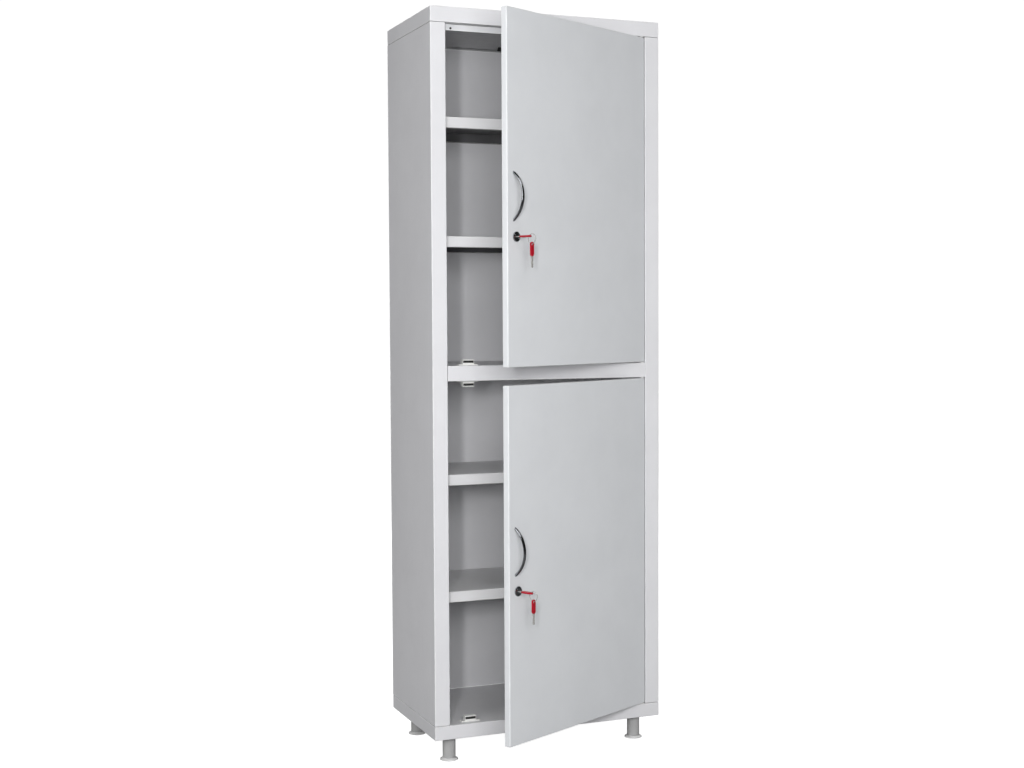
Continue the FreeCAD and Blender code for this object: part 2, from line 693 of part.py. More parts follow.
# Doors, modelled shut about the pivot axis and then turned open
class Door:
    def __init__(self, name, bottom, tall, handle_up):
        self.name = name
        self.bottom = bottom
        self.tall = tall
        self.handle_z = handle_up
        self.lock_z = f"({handle_up} - lock_drop)"

    def node(self, label, thing):
        thing.Placement = FreeCAD.Placement(FreeCAD.Vector(), FreeCAD.Rotation(UP, DIMENSIONS["door_open"]))
        put(thing, "hinge_x", "hinge_y", self.bottom)
        thing.setExpression("Placement.Rotation.Angle", tied("door_open"))
        return node(f"{self.name}_{label}", thing)

    def handle_ends(self):
        return [f"{self.handle_z} {sign} handle_screw_spacing / 2" for sign in "+-"]

    def pan(self):
        outside = slab(("free_edge", "pivot_in"), ("face", "inner"), ("0", self.tall))
        hollow = slab(("free_edge + sheet", "pivot_in - sheet"), ("skin", "inner - sheet"),
                      ("sheet", f"{self.tall} - sheet"))
        mouth = slab(("free_edge + door_return", "pivot_in - door_return"),
                     ("inner - 2 * sheet", "inner + sheet"), ("door_return", f"{self.tall} - door_return"))
        through = ("face - sheet", "skin + sheet")
        lock_hole = rod("barrel_radius + hole_clear", "Y", through, ("lock_x", self.lock_z))
        screw_holes = [rod("handle_screw_radius + hole_clear", "Y", through, ("handle_x", z))
                       for z in self.handle_ends()]
        pin_holes = [rod("pin_radius + hole_clear", "Z", (f"{z} - sheet", f"{z} + 2 * sheet"), ("0", "0"))
                     for z in ("0", f"{self.tall} - sheet")]
        self.node("door_pan", cut(outside, hollow, mouth, lock_hole, *screw_holes, *pin_holes))

    def stiffener(self):
        middle = "pivot_in - door_wide / 2"
        across = (f"{middle} - stiffener_wide / 2", f"{middle} + stiffener_wide / 2")
        tall = ("door_return + stiffener_gap", f"{self.tall} - door_return - stiffener_gap")
        outside = slab(across, ("skin", "inner - stiffener_gap"), tall)
        hollow = slab((f"{across[0]} + sheet", f"{across[1]} - sheet"),
                      ("skin - sheet", "inner - stiffener_gap - sheet"), widened(tall, "sheet"))
        self.node("door_stiffener", cut(outside, hollow))

    def pivot_pins(self):
        block_x = ("pivot_in - sheet - pin_block_wide", "pivot_in - sheet")
        block_y = ("skin", "inner - sheet")
        low_block = slab(block_x, block_y, ("sheet", "sheet + pin_block_tall"))
        low_pin = rod("pin_radius", "Z", ("-pin_out", "2 * sheet"), ("0", "0"))
        collar = rod("collar_radius", "Z", ("bush_flange + bearing_clear - door_end_gap", "0"), ("0", "0"))
        high_block = slab(block_x, block_y, (f"{self.tall} - sheet - pin_block_tall", f"{self.tall} - sheet"))
        high_pin = rod("pin_radius", "Z", (f"{self.tall} - 2 * sheet", f"{self.tall} + pin_out"), ("0", "0"))
        self.node("pivot_pins", group(joined(low_block, low_pin, collar), joined(high_block, high_pin)))

    def handle(self):
        bow = doc.addObject("Part::Torus", "Bow")
        bow.Placement.Rotation = TURNS["X"]
        bind(bow, Radius1="bow_radius", Radius2="handle_rod_radius")
        put(bow, "handle_x", "bow_centre", self.handle_z)
        behind = slab(("handle_x - 2 * handle_rod_radius", "handle_x + 2 * handle_rod_radius"),
                      ("face", "bow_centre + 2 * bow_radius"),
                      (f"{self.handle_z} - 2 * bow_radius", f"{self.handle_z} + 2 * bow_radius"))
        bore_span = ("face - handle_screw_grip - hole_clear", "skin")
        screw_bores = [rod("handle_screw_radius + run_clear", "Y", bore_span, ("handle_x", z))
                       for z in self.handle_ends()]
        self.node("handle", cut(bow, behind, *screw_bores))
        screws = []
        for z in self.handle_ends():
            head_back = "skin + handle_screw_head_tall"
            head = rod("handle_screw_head_radius", "Y", ("skin", head_back), ("handle_x", z))
            shank = rod("handle_screw_radius", "Y", ("face - handle_screw_grip", head_back), ("handle_x", z))
            screws.append(joined(head, shank))
        self.node("handle_screws", group(*screws))

    def lock(self):
        axis = ("lock_x", self.lock_z)
        flange = rod("lock_face_radius", "Y", ("lock_front", "face"), axis)
        barrel = rod("barrel_radius", "Y", ("lock_front", "inner - sheet"), axis)
        bore = rod("plug_radius + run_clear", "Y", ("lock_front - sheet", "inner"), axis)
        self.node("lock_barrel", cut(joined(flange, barrel), bore))
        nut = rod("nut_radius", "Y", ("skin", "skin + nut_thick"), axis)
        nut_bore = rod("barrel_radius + run_clear", "Y", ("face", "skin + nut_thick + sheet"), axis)
        self.node("lock_nut", cut(nut, nut_bore))
        core = rod("plug_radius", "Y", ("lock_front", "cam_front"), axis)
        square = slab(("lock_x - plug_square / 2", "lock_x + plug_square / 2"), ("inner - sheet", "cam_back"),
                      (f"{self.lock_z} - plug_square / 2", f"{self.lock_z} + plug_square / 2"))
        keyway = slab(("lock_x - key_blade_wide / 2 - key_clear", "lock_x + key_blade_wide / 2 + key_clear"),
                      ("lock_front - sheet", "lock_front + key_blade_in + key_clear"),
                      (f"{self.lock_z} - key_blade_thick / 2 - key_clear",
                       f"{self.lock_z} + key_blade_thick / 2 + key_clear"))
        screw_bore = rod("cam_screw_radius + run_clear", "Y", ("cam_back - cam_screw_long - hole_clear",
                                                              "cam_back + sheet"), axis)
        self.node("lock_plug", cut(joined(core, square), keyway, screw_bore))
        thick = ("cam_front", "cam_back")
        arm = slab(("lock_x - cam_wide / 2", "lock_x + cam_wide / 2"), thick,
                   (f"{self.lock_z} - cam_long", self.lock_z))
        blade = joined(arm, rod("cam_wide / 2", "Y", thick, axis))
        half = "(plug_square / 2 + key_clear)"
        hole = slab((f"lock_x - {half}", f"lock_x + {half}"), ("cam_front - sheet", "cam_back + sheet"),
                    (f"{self.lock_z} - {half}", f"{self.lock_z} + {half}"))
        self.node("lock_cam", cut(blade, hole))
        head_end = "cam_back + cam_screw_head_tall"
        head = rod("cam_screw_head_radius", "Y", ("cam_back", head_end), axis)
        shank = rod("cam_screw_radius", "Y", ("cam_back - cam_screw_long", head_end), axis)
        self.node("cam_screw", joined(head, shank))

    def key(self):
        """Key in the lock, its flat level, with a ring through the hole of its head."""
        def flat(half):
            return (f"{self.lock_z} - {half}", f"{self.lock_z} + {half}")
        blade_x = ("lock_x - key_blade_wide / 2", "lock_x + key_blade_wide / 2")
        tang_end = "head_back - key_tang"
        blade = slab(blade_x, (tang_end, "lock_front + key_blade_in"), flat("key_blade_thick / 2"))
        self.node("key_blade", group(blade))
        thick = flat("key_head_thick / 2")
        ends = ("head_front + key_head_wide / 2", "head_back - key_head_wide / 2")
        rounds = [rod("key_head_wide / 2", "Z", thick, ("lock_x", y)) for y in ends]
        head_x = ("lock_x - key_head_wide / 2", "lock_x + key_head_wide / 2")
        grip = joined(slab(head_x, ends, thick), *rounds)
        pocket = slab(widened(blade_x, "run_clear"), (f"{tang_end} - run_clear", "head_back + sheet"),
                      flat("(key_blade_thick / 2 + run_clear)"))
        hole = rod("key_hole_radius", "Z", flat("key_head_thick"), ("lock_x", "ring_hole_y"))
        self.node("key_head", cut(grip, pocket, hole))
        ring = doc.addObject("Part::Torus", "Ring")
        ring.Placement.Rotation = TURNS["X"]
        bind(ring, Radius1="ring_radius", Radius2="ring_wire_radius")
        put(ring, "lock_x", "ring_y", f"{self.lock_z} - ring_down")
        self.node("key_ring", group(ring))

    def spare_key(self):
        """Second key hanging from the ring, its flat parallel to the door."""
        def flat(half):
            return (f"ring_y - {half}", f"ring_y + {half}")
        top = f"{self.lock_z} + spare_top"
        bottom = f"{self.lock_z} + spare_bottom"
        blade_x = ("lock_x - key_blade_wide / 2", "lock_x + key_blade_wide / 2")
        blade = slab(blade_x, flat("key_blade_thick / 2"),
                     (f"{bottom} - spare_blade_long", f"{bottom} + key_tang"))
        self.node("spare_key_blade", group(blade))
        thick = flat("key_head_thick / 2")
        ends = (f"{bottom} + key_head_wide / 2", f"{top} - key_head_wide / 2")
        rounds = [rod("key_head_wide / 2", "Y", thick, ("lock_x", z)) for z in ends]
        head_x = ("lock_x - key_head_wide / 2", "lock_x + key_head_wide / 2")
        grip = joined(slab(head_x, thick, ends), *rounds)
        pocket = slab(widened(blade_x, "run_clear"), flat("(key_blade_thick / 2 + run_clear)"),
                      (f"{bottom} - sheet", f"{bottom} + key_tang + run_clear"))
        hole = rod("key_hole_radius", "Y", flat("key_head_thick"),
                   ("lock_x", f"{self.lock_z} - spare_hole_drop"))
        self.node("spare_key_head", cut(grip, pocket, hole))

    def build(self):
        self.pan()
        self.stiffener()
        self.pivot_pins()
        self.handle()
        self.lock()
        self.key()
        self.spare_key()


def write_parts():
    doc.recompute()
    for thing in doc.Objects:
        if "Invalid" in thing.State or "Error" in thing.State:
            raise RuntimeError(f"{thing.Label} failed: {thing.State}")
    for thing in nodes:
        if thing.Shape.isNull() or not thing.Shape.isValid() or not thing.Shape.Solids:
            raise RuntimeError(f"{thing.Label} has no valid solid")
    os.makedirs("parts", exist_ok=True)
    for thing in nodes:
        thing.Shape.exportStep(f"parts/{thing.Label}.step")
        print(f"{thing.Label:24s} solids {len(thing.Shape.Solids):2d} volume {thing.Shape.Volume:12.1f}")


top_cap()
ceiling_knob()
door_stop()
base_tray()
side_panels()
back_panel()
middle_divider()
frame_rivets()
back_rivets()
shelf_strips()
shelves()
shelf_clips()
legs()
catches()
hinge_bushes()
for door in (Door("upper", "rail_top + door_end_gap", "upper_door_tall", "upper_handle_up"),
             Door("lower", "base_top + door_end_gap", "lower_door_tall", "lower_handle_up")):
    door.build()
write_parts()
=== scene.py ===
import bmesh
import bpy
import json
import math
from mathutils import Matrix, Vector


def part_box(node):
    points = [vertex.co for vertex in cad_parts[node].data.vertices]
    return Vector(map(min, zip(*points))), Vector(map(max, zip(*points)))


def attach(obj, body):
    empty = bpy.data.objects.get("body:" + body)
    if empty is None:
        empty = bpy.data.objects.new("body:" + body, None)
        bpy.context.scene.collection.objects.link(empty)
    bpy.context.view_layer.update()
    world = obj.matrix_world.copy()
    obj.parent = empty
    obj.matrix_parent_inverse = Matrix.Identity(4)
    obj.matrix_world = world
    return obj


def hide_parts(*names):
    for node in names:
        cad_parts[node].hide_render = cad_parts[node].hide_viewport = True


# Steel medicine cabinet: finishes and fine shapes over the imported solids.
# Metres in the row frame: X to the right, front towards -Y, Z up.
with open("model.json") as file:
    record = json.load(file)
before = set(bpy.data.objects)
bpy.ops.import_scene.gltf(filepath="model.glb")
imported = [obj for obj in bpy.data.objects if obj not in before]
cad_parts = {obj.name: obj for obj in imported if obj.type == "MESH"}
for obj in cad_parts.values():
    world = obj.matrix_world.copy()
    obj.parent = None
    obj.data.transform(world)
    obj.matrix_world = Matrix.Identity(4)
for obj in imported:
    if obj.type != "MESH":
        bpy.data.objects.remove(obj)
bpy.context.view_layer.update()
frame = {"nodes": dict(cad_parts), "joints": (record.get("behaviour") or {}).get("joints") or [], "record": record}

MM = 0.001
BODY_OF = {node: body for body, nodes in frame["record"]["behaviour"]["bodies"].items() for node in nodes}
SLOT_OF = {part["node"]: part["material_slot"] for part in frame["record"]["subparts"]}
WELD = 0.01 * MM

# Folded sheet
SHEET = 1 * MM
FOLD_RADIUS = 1.8 * MM
FOLD_STEPS = 3
TRAY_HEM = 26 * MM
REVEAL = 14 * MM
RAIL_RETURN = 38 * MM
DIVIDER_LIP = 25 * MM
STILE_GAP = 0.2 * MM
SHELF_HEM = 14 * MM
DOOR_RETURN = 16 * MM
BROKEN_EDGE = 0.3 * MM
SEAM = 0.5 * MM
KNOB_NECK = 4.4 * MM
KNOB_LIP = 6 * MM
RIVET_HEAD = 4 * MM
RIVET_SHANK = 2 * MM
RIVET_HEAD_TALL = 1.5 * MM

# Handles, locks and keys
HANDLE_SPAN = 100 * MM
HANDLE_RISE = 26 * MM
HANDLE_ROD = 3.2 * MM
HANDLE_OVERRUN = math.radians(12)
HANDLE_SCREW = 1.5 * MM
HANDLE_SCREW_HEAD = 3.2 * MM
HANDLE_SCREW_HEAD_TALL = 2.2 * MM
LOCK_FACE = 11 * MM
LOCK_FACE_THICK = 3 * MM
LOCK_BARREL = 9.5 * MM
LOCK_BORE = 6.05 * MM
LOCK_GROOVE_IN = 7.3 * MM
LOCK_GROOVE_OUT = 8.7 * MM
LOCK_GROOVE_DEEP = 0.35 * MM
LOCK_PITCH = 1 * MM
LOCK_THREAD = 0.3 * MM
LOCK_NUT_CORNER = 13 * MM
PLUG_EDGE = 0.25 * MM
CAM_HOLE = 3.1 * MM
CAM_CORNER = 3.5 * MM
CAM_SCREW = 2 * MM
CAM_SCREW_HEAD = 5 * MM
CAM_SCREW_HEAD_TALL = 2.5 * MM
KEY_HOLE = 2.7 * MM
KEY_HOLE_FROM_END = 5.5 * MM
KEY_TANG = 8 * MM
KEY_CUTS = (0.25, 0.55, 0.1, 0.45, 0.2)
KEY_EDGE = 0.2 * MM
KEY_HEAD_EDGE = 0.8 * MM
KEY_PANEL_SUNK = 0.35 * MM
RING_WIRE = 0.55 * MM
RING_TURNS = 1.96
RING_START = math.radians(200)

# Legs and catches
LEG_BORE = 5.05 * MM
LEG_BORE_DEEP = 26 * MM
LEG_BOLT_BORE = 4.1 * MM
LEG_BOLT_DEEP = 16.1 * MM
LEG_BREAK = 1.2 * MM
LEG_GROOVE = 0.5 * MM
LEG_BOLT = 4 * MM
LEG_BOLT_PITCH = 1.25 * MM
LEG_BOLT_THREAD = 0.4 * MM
FOOT_STEM = 5 * MM
FOOT_PITCH = 1.5 * MM
FOOT_THREAD = 0.5 * MM
FOOT_DISC = 3 * MM
FOOT_CONE = 2.4 * MM
CATCH_EDGE = 0.6 * MM
CATCH_POLE = 0.9 * MM
CATCH_SCREW = 1.5 * MM
CATCH_SCREW_LONG = 6 * MM
CATCH_SCREW_HEAD = 3 * MM
CATCH_SCREW_HEAD_TALL = 1.6 * MM

# Studio: light of the surroundings as the camera sees it, as gloss shows it and as it falls on the cabinet
BACKDROP = 1.05
MIRROR_GLOW = 0.03
GLOW = 0.19
FLOOR_LIFT = 0.96
FLOOR_TONE = 0.56
FLOOR_CLOUD = 0.54
FLOOR_IN_GLOSS = 0.14
FLOOR_HALF = 14
LAMP_AIM = Vector((0, 0, 0.9))

# Camera of the photo, fitted to the body's edges in a 1024 x 768 frame
PHOTO_WIDE = 1024
PHOTO_FOCAL = 1484.02
SENSOR_WIDE = 36
CAMERA_PLACE = (-1.36518, -3.31411, 1.01915)
CAMERA_YAW = math.radians(-21.9655)
CAMERA_PITCH = math.radians(-2.5749)
CAMERA_ROLL = math.radians(0.2887)


# Shader nodes

def add(tree, kind, inputs=None, **settings):
    """New node; each input takes a value or a link from another node's output."""
    node = tree.nodes.new(kind)
    for name, value in settings.items():
        setattr(node, name, value)
    for name, value in (inputs or {}).items():
        if isinstance(value, bpy.types.NodeSocket):
            tree.links.new(value, node.inputs[name])
        else:
            node.inputs[name].default_value = value
    return node


def mixed(tree, factor, first, second):
    """Colour between two colours."""
    node = add(tree, "ShaderNodeMix", {0: factor, 6: first, 7: second}, data_type="RGBA")
    return node.outputs[2]


def ranged(tree, value, low, high, to_low, to_high):
    node = add(tree, "ShaderNodeMapRange", {"Value": value, "From Min": low, "From Max": high,
                                            "To Min": to_low, "To Max": to_high})
    return node.outputs[0]


def maths(tree, operation, first, second):
    return add(tree, "ShaderNodeMath", {0: first, 1: second}, operation=operation).outputs[0]


def noise(tree, place, scale, detail, roughness=0.5):
    node = add(tree, "ShaderNodeTexNoise", {"Vector": place, "Scale": scale, "Detail": detail,
                                            "Roughness": roughness})
    return node.outputs[0]


def grey(value):
    return (value, value, value, 1)


def effect(name, sockets_in, sockets_out):
    """Empty node group with value inputs and outputs; returns its tree, input node and output node."""
    tree = bpy.data.node_groups.new(name, "ShaderNodeTree")
    for label, default in sockets_in.items():
        socket = tree.interface.new_socket(label, in_out="INPUT", socket_type="NodeSocketFloat")
        socket.default_value = default
    for label in sockets_out:
        tree.interface.new_socket(label, in_out="OUTPUT", socket_type="NodeSocketFloat")
    return tree, tree.nodes.new("NodeGroupInput"), tree.nodes.new("NodeGroupOutput")


def coat_texture():
    """Powder coat: orange peel, soft clouds of tone and the slow waves of a thin panel."""
    tree, given, made = effect("coat_texture", {"Peel Scale": 420, "Cloud Scale": 9}, ("Peel", "Cloud"))
    place = add(tree, "ShaderNodeTexCoord").outputs["Object"]
    peel = noise(tree, place, given.outputs["Peel Scale"], 2)
    waves = noise(tree, place, 4.5, 1)
    cloud = noise(tree, place, given.outputs["Cloud Scale"], 4, 0.6)
    height = maths(tree, "ADD", maths(tree, "MULTIPLY", peel, 0.5), maths(tree, "MULTIPLY", waves, 3.0))
    tree.links.new(height, made.inputs["Peel"])
    tree.links.new(cloud, made.inputs["Cloud"])
    return tree


def fold_highlight_mask():
    """Mask of folds and rims, broken up along their length: where the coat gets a painted highlight."""
    tree, given, made = effect("fold_highlight_mask", {"Radius": 2.2 * MM, "Breakup Scale": 45}, ("Mask",))
    soft = add(tree, "ShaderNodeBevel", {"Radius": given.outputs["Radius"]}, samples=4).outputs[0]
    true = add(tree, "ShaderNodeNewGeometry").outputs["Normal"]
    along = add(tree, "ShaderNodeVectorMath", {0: soft, 1: true}, operation="DOT_PRODUCT").outputs["Value"]
    bent = ranged(tree, along, 0.995, 0.9, 0, 1)
    place = add(tree, "ShaderNodeTexCoord").outputs["Object"]
    breakup = ranged(tree, noise(tree, place, given.outputs["Breakup Scale"], 3), 0.35, 0.6, 0.35, 1)
    tree.links.new(maths(tree, "MULTIPLY", bent, breakup), made.inputs["Mask"])
    return tree


def settled_dust():
    """Mask of dust on faces that look up."""
    tree, given, made = effect("settled_dust", {"Amount": 0.2}, ("Mask",))
    normal = add(tree, "ShaderNodeNewGeometry").outputs["Normal"]
    up = ranged(tree, add(tree, "ShaderNodeSeparateXYZ", {0: normal}).outputs["Z"], 0.6, 0.95, 0, 1)
    place = add(tree, "ShaderNodeTexCoord").outputs["Object"]
    patches = ranged(tree, noise(tree, place, 16, 5, 0.65), 0.4, 0.7, 0.2, 1)
    specks = ranged(tree, noise(tree, place, 900, 1), 0.62, 0.72, 0, 0.6)
    spread = maths(tree, "MULTIPLY", maths(tree, "ADD", patches, specks), given.outputs["Amount"])
    tree.links.new(maths(tree, "MULTIPLY", up, spread), made.inputs["Mask"])
    return tree


def painted_underside_shade():
    """Mask of faces that look down, darkened as painted shade."""
    tree, given, made = effect("painted_underside_shade", {"Amount": 0.6}, ("Mask",))
    normal = add(tree, "ShaderNodeNewGeometry").outputs["Normal"]
    down = ranged(tree, add(tree, "ShaderNodeSeparateXYZ", {0: normal}).outputs["Z"], -0.5, -0.95, 0, 1)
    tree.links.new(maths(tree, "MULTIPLY", down, given.outputs["Amount"]), made.inputs["Mask"])
    return tree


def hand_marks():
    """Mask of faint smears and fine rubbed lines."""
    tree, given, made = effect("hand_marks", {"Smear Scale": 60, "Line Scale": 700}, ("Smear", "Lines"))
    place = add(tree, "ShaderNodeTexCoord").outputs["Object"]
    smear = ranged(tree, noise(tree, place, given.outputs["Smear Scale"], 4, 0.6), 0.42, 0.68, 0, 1)
    drawn = add(tree, "ShaderNodeMapping", {"Vector": place, "Scale": (1, 1, 0.06)}).outputs[0]
    lines = noise(tree, drawn, given.outputs["Line Scale"], 2)
    tree.links.new(smear, made.inputs["Smear"])
    tree.links.new(lines, made.inputs["Lines"])
    return tree


def zinc_flowers():
    """Crystal patches of a zinc layer."""
    tree, given, made = effect("zinc_flowers", {"Scale": 130}, ("Tone", "Height"))
    place = add(tree, "ShaderNodeTexCoord").outputs["Object"]
    aside = (0.004, 0.003, 0.002)
    bent = add(tree, "ShaderNodeVectorMath", {0: place, 1: aside}, operation="ADD").outputs[0]
    cells = add(tree, "ShaderNodeTexVoronoi", {"Vector": bent, "Scale": given.outputs["Scale"],
                                               "Randomness": 0.9})
    tone = add(tree, "ShaderNodeSeparateColor", {0: cells.outputs["Color"]}).outputs[0]
    tree.links.new(tone, made.inputs["Tone"])
    tree.links.new(cells.outputs["Distance"], made.inputs["Height"])
    return tree


def moulded_grain():
    """Fine texture and slight flow marks of moulded plastic or rubber."""
    tree, given, made = effect("moulded_grain", {"Grain Scale": 1500, "Flow Scale": 50}, ("Grain", "Flow"))
    place = add(tree, "ShaderNodeTexCoord").outputs["Object"]
    tree.links.new(noise(tree, place, given.outputs["Grain Scale"], 2), made.inputs["Grain"])
    tree.links.new(noise(tree, place, given.outputs["Flow Scale"], 3), made.inputs["Flow"])
    return tree


EFFECTS = {build.__name__: build() for build in (coat_texture, fold_highlight_mask, settled_dust, painted_underside_shade,
                                                 hand_marks, zinc_flowers, moulded_grain)}


def finish(name, **constants):
    """New material with constants on its shader's own sockets; returns it, its tree and its shader."""
    material = bpy.data.materials.new(name)
    material.use_nodes = True
    shader = material.node_tree.nodes["Principled BSDF"]
    for label, value in constants.items():
        shader.inputs[label.replace("_", " ")].default_value = value
    return material, material.node_tree, shader


def use(tree, effect_name, **values):
    node = tree.nodes.new("ShaderNodeGroup")
    node.node_tree = EFFECTS[effect_name]
    for label, value in values.items():
        node.inputs[label.replace("_", " ")].default_value = value
    return node.outputs


def textured(tree, shader, colour, roughness, height, depth, strength=1.0):
    bump = add(tree, "ShaderNodeBump", {"Height": height, "Distance": depth, "Strength": strength})
    for label, value in (("Base Color", colour), ("Roughness", roughness), ("Normal", bump.outputs[0])):
        tree.links.new(value, shader.inputs[label])


PEEL_DEEP = 0.08 * MM
ZINC_DEEP = 0.02 * MM
RUBBED_DEEP = 0.004 * MM
# Dark grey of the painted shade on faces that look down
UNDERSIDE_SHADE_TONE = grey(0.2)
COAT_DUST = (0.76, 0.75, 0.72, 1)
PLASTIC_DUST = (0.6, 0.58, 0.55, 1)


def coat(name, light, shade, edge, rough):
    """Powder coat on steel: a pale tone with a slightly darker one in its clouds, a painted highlight along the
    folds and painted shade on faces that look down.
    """
    material, tree, shader = finish(name, IOR=1.5)
    surface = use(tree, "coat_texture")
    folds = use(tree, "fold_highlight_mask")
    dust = use(tree, "settled_dust")
    marks = use(tree, "hand_marks")
    tone = mixed(tree, ranged(tree, surface["Cloud"], 0.35, 0.65, 0, 1), light, shade)
    # painted shade: faces that look down are darkened towards dark grey
    tone = mixed(tree, use(tree, "painted_underside_shade")["Mask"], tone, UNDERSIDE_SHADE_TONE)
    # painted highlight: folds and rims are lightened towards a near-white tone
    tone = mixed(tree, folds["Mask"], tone, edge)
    tone = mixed(tree, dust["Mask"], tone, COAT_DUST)
    gloss = ranged(tree, marks["Smear"], 0, 1, rough, rough + 0.08)
    gloss = maths(tree, "ADD", gloss, maths(tree, "MULTIPLY", dust["Mask"], 0.5))
    textured(tree, shader, tone, gloss, surface["Peel"], PEEL_DEEP)
    return material


def plated(name, light, dark, rough_low, rough_high, scale):
    """Zinc plated steel with faint crystal patches."""
    material, tree, shader = finish(name, Metallic=0.6)
    zinc = use(tree, "zinc_flowers", Scale=scale)
    marks = use(tree, "hand_marks")
    tone = mixed(tree, zinc["Tone"], light, dark)
    gloss = ranged(tree, marks["Lines"], 0.3, 0.7, rough_low, rough_high)
    textured(tree, shader, tone, gloss, zinc["Height"], ZINC_DEEP, 0.4)
    return material


def polished(name, light, dull, rough_low, rough_high, metallic=1.0):
    """Bright plating with fine rubbed lines and faint finger marks."""
    material, tree, shader = finish(name, Metallic=metallic)
    marks = use(tree, "hand_marks", Smear_Scale=180, Line_Scale=1600)
    tone = mixed(tree, marks["Smear"], light, dull)
    gloss = ranged(tree, marks["Smear"], 0, 1, rough_low, rough_high)
    textured(tree, shader, tone, gloss, marks["Lines"], RUBBED_DEEP, 0.5)
    return material


def moulded(name, light, shade, rough_low, rough_high, grain_depth, flow_scale=50):
    """Moulded plastic or rubber."""
    material, tree, shader = finish(name, IOR=1.49)
    grain = use(tree, "moulded_grain", Flow_Scale=flow_scale)
    dust = use(tree, "settled_dust", Amount=0.15)
    tone = mixed(tree, ranged(tree, grain["Flow"], 0.3, 0.7, 0, 1), light, shade)
    tone = mixed(tree, dust["Mask"], tone, PLASTIC_DUST)
    gloss = ranged(tree, grain["Flow"], 0.3, 0.7, rough_low, rough_high)
    textured(tree, shader, tone, gloss, grain["Grain"], grain_depth)
    return material


# Near-white tone of the painted highlight along folds and rims
FOLD_HIGHLIGHT_TONE = grey(0.92)
FINISH = {
    "painted_steel": coat("carcass_coat", (0.715, 0.715, 0.735, 1), (0.69, 0.69, 0.71, 1), FOLD_HIGHLIGHT_TONE, 0.38),
    "shelf_paint": coat("shelf_coat", (0.77, 0.77, 0.78, 1), (0.74, 0.74, 0.75, 1), FOLD_HIGHLIGHT_TONE, 0.36),
    "door_paint": coat("door_coat", (0.70, 0.715, 0.735, 1), (0.675, 0.69, 0.71, 1), FOLD_HIGHLIGHT_TONE, 0.36),
    "bright_strip": coat("stop_strip_coat", (0.75, 0.755, 0.77, 1), (0.68, 0.69, 0.71, 1), FOLD_HIGHLIGHT_TONE, 0.3),
    "galvanised_strip": plated("strip_zinc", grey(0.7), grey(0.58), 0.3, 0.45, 160),
    "zinc_steel": plated("fastener_zinc", (0.66, 0.66, 0.65, 1), (0.52, 0.53, 0.55, 1), 0.25, 0.4, 420),
    "chrome": polished("handle_chrome", (0.42, 0.43, 0.45, 1), (0.34, 0.35, 0.37, 1), 0.05, 0.12),
    "key_steel": polished("key_nickel", (0.62, 0.61, 0.59, 1), (0.5, 0.49, 0.47, 1), 0.2, 0.35, 0.5),
    "key_red": moulded("key_red_plastic", (0.43, 0.006, 0.022, 1), (0.34, 0.005, 0.016, 1), 0.28, 0.38,
                       0.01 * MM),
    "leg_plastic": moulded("leg_grey_plastic", grey(0.46), grey(0.42), 0.3, 0.42, 0.03 * MM),
    "catch_plastic": moulded("catch_white_plastic", (0.82, 0.82, 0.80, 1), (0.76, 0.76, 0.74, 1),
                             0.35, 0.45, 0.02 * MM, 300),
    "magnet": moulded("magnet_ferrite", grey(0.03), grey(0.018), 0.45, 0.6, 0.05 * MM, 400),
    "rubber_black": moulded("buffer_rubber", grey(0.016), grey(0.01), 0.6, 0.75, 0.05 * MM, 300),
}
# Painted shade: the inner faces of the shelf trays get a near-black coat that stands in for the shadow inside them
SHELF_INSIDE_SHADE = coat("shelf_inside_painted_shade", (0.16, 0.16, 0.165, 1), (0.13, 0.13, 0.135, 1), grey(0.2), 0.45)
FOOT_PALE = moulded("foot_pale_plastic", grey(0.78), grey(0.72), 0.3, 0.42, 0.03 * MM)


# Mesh making

def sharpened(bm, limit=math.radians(35)):
    for edge in bm.edges:
        edge.smooth = edge.calc_face_angle(0) < limit


def as_mesh(name, bm, place=Matrix()):
    bm.transform(place)
    mesh = bpy.data.meshes.new(name)
    bm.to_mesh(mesh)
    bm.free()
    mesh.shade_smooth()
    return mesh


def limits(spots):
    """Lowest and highest corner of the box round some spots."""
    return (Vector([min(spot[i] for spot in spots) for i in range(3)]),
            Vector([max(spot[i] for spot in spots) for i in range(3)]))


def skin(name, polygons, place=Matrix()):
    """Outer skin of a folded sheet: polygons that meet share their corners, and all face outwards."""
    bm = bmesh.new()
    for corners in polygons:
        bm.faces.new([bm.verts.new(corner) for corner in corners])
    bmesh.ops.remove_doubles(bm, verts=bm.verts[:], dist=WELD)
    bmesh.ops.recalc_face_normals(bm, faces=bm.faces[:])
    low, high = limits([vert.co for vert in bm.verts])
    middle = (low + high) / 2
    if sum(face.calc_area() * face.normal.dot(face.calc_center_median() - middle) for face in bm.faces) < 0:
        bmesh.ops.reverse_faces(bm, faces=bm.faces[:])
    return as_mesh(name, bm, place)


def lathe(profile, segments):
    """Closed round form about Z from (radius, height) pairs."""
    bm = bmesh.new()
    rings = []
    for radius, height in profile:
        spots = segments if radius > 0 else 1
        turns = [2 * math.pi * step / segments for step in range(spots)]
        rings.append([bm.verts.new((radius * math.cos(t), radius * math.sin(t), height)) for t in turns])
    for low, high in zip(rings, rings[1:] + rings[:1]):
        if len(low) == len(high) == 1:
            continue
        for step in range(segments):
            after = (step + 1) % segments
            walk = ((low, step), (low, after), (high, after), (high, step))
            corners = [ring[spot % len(ring)] for ring, spot in walk]
            bm.faces.new(list(dict.fromkeys(corners)))
    bmesh.ops.recalc_face_normals(bm, faces=bm.faces[:])
    sharpened(bm)
    return bm


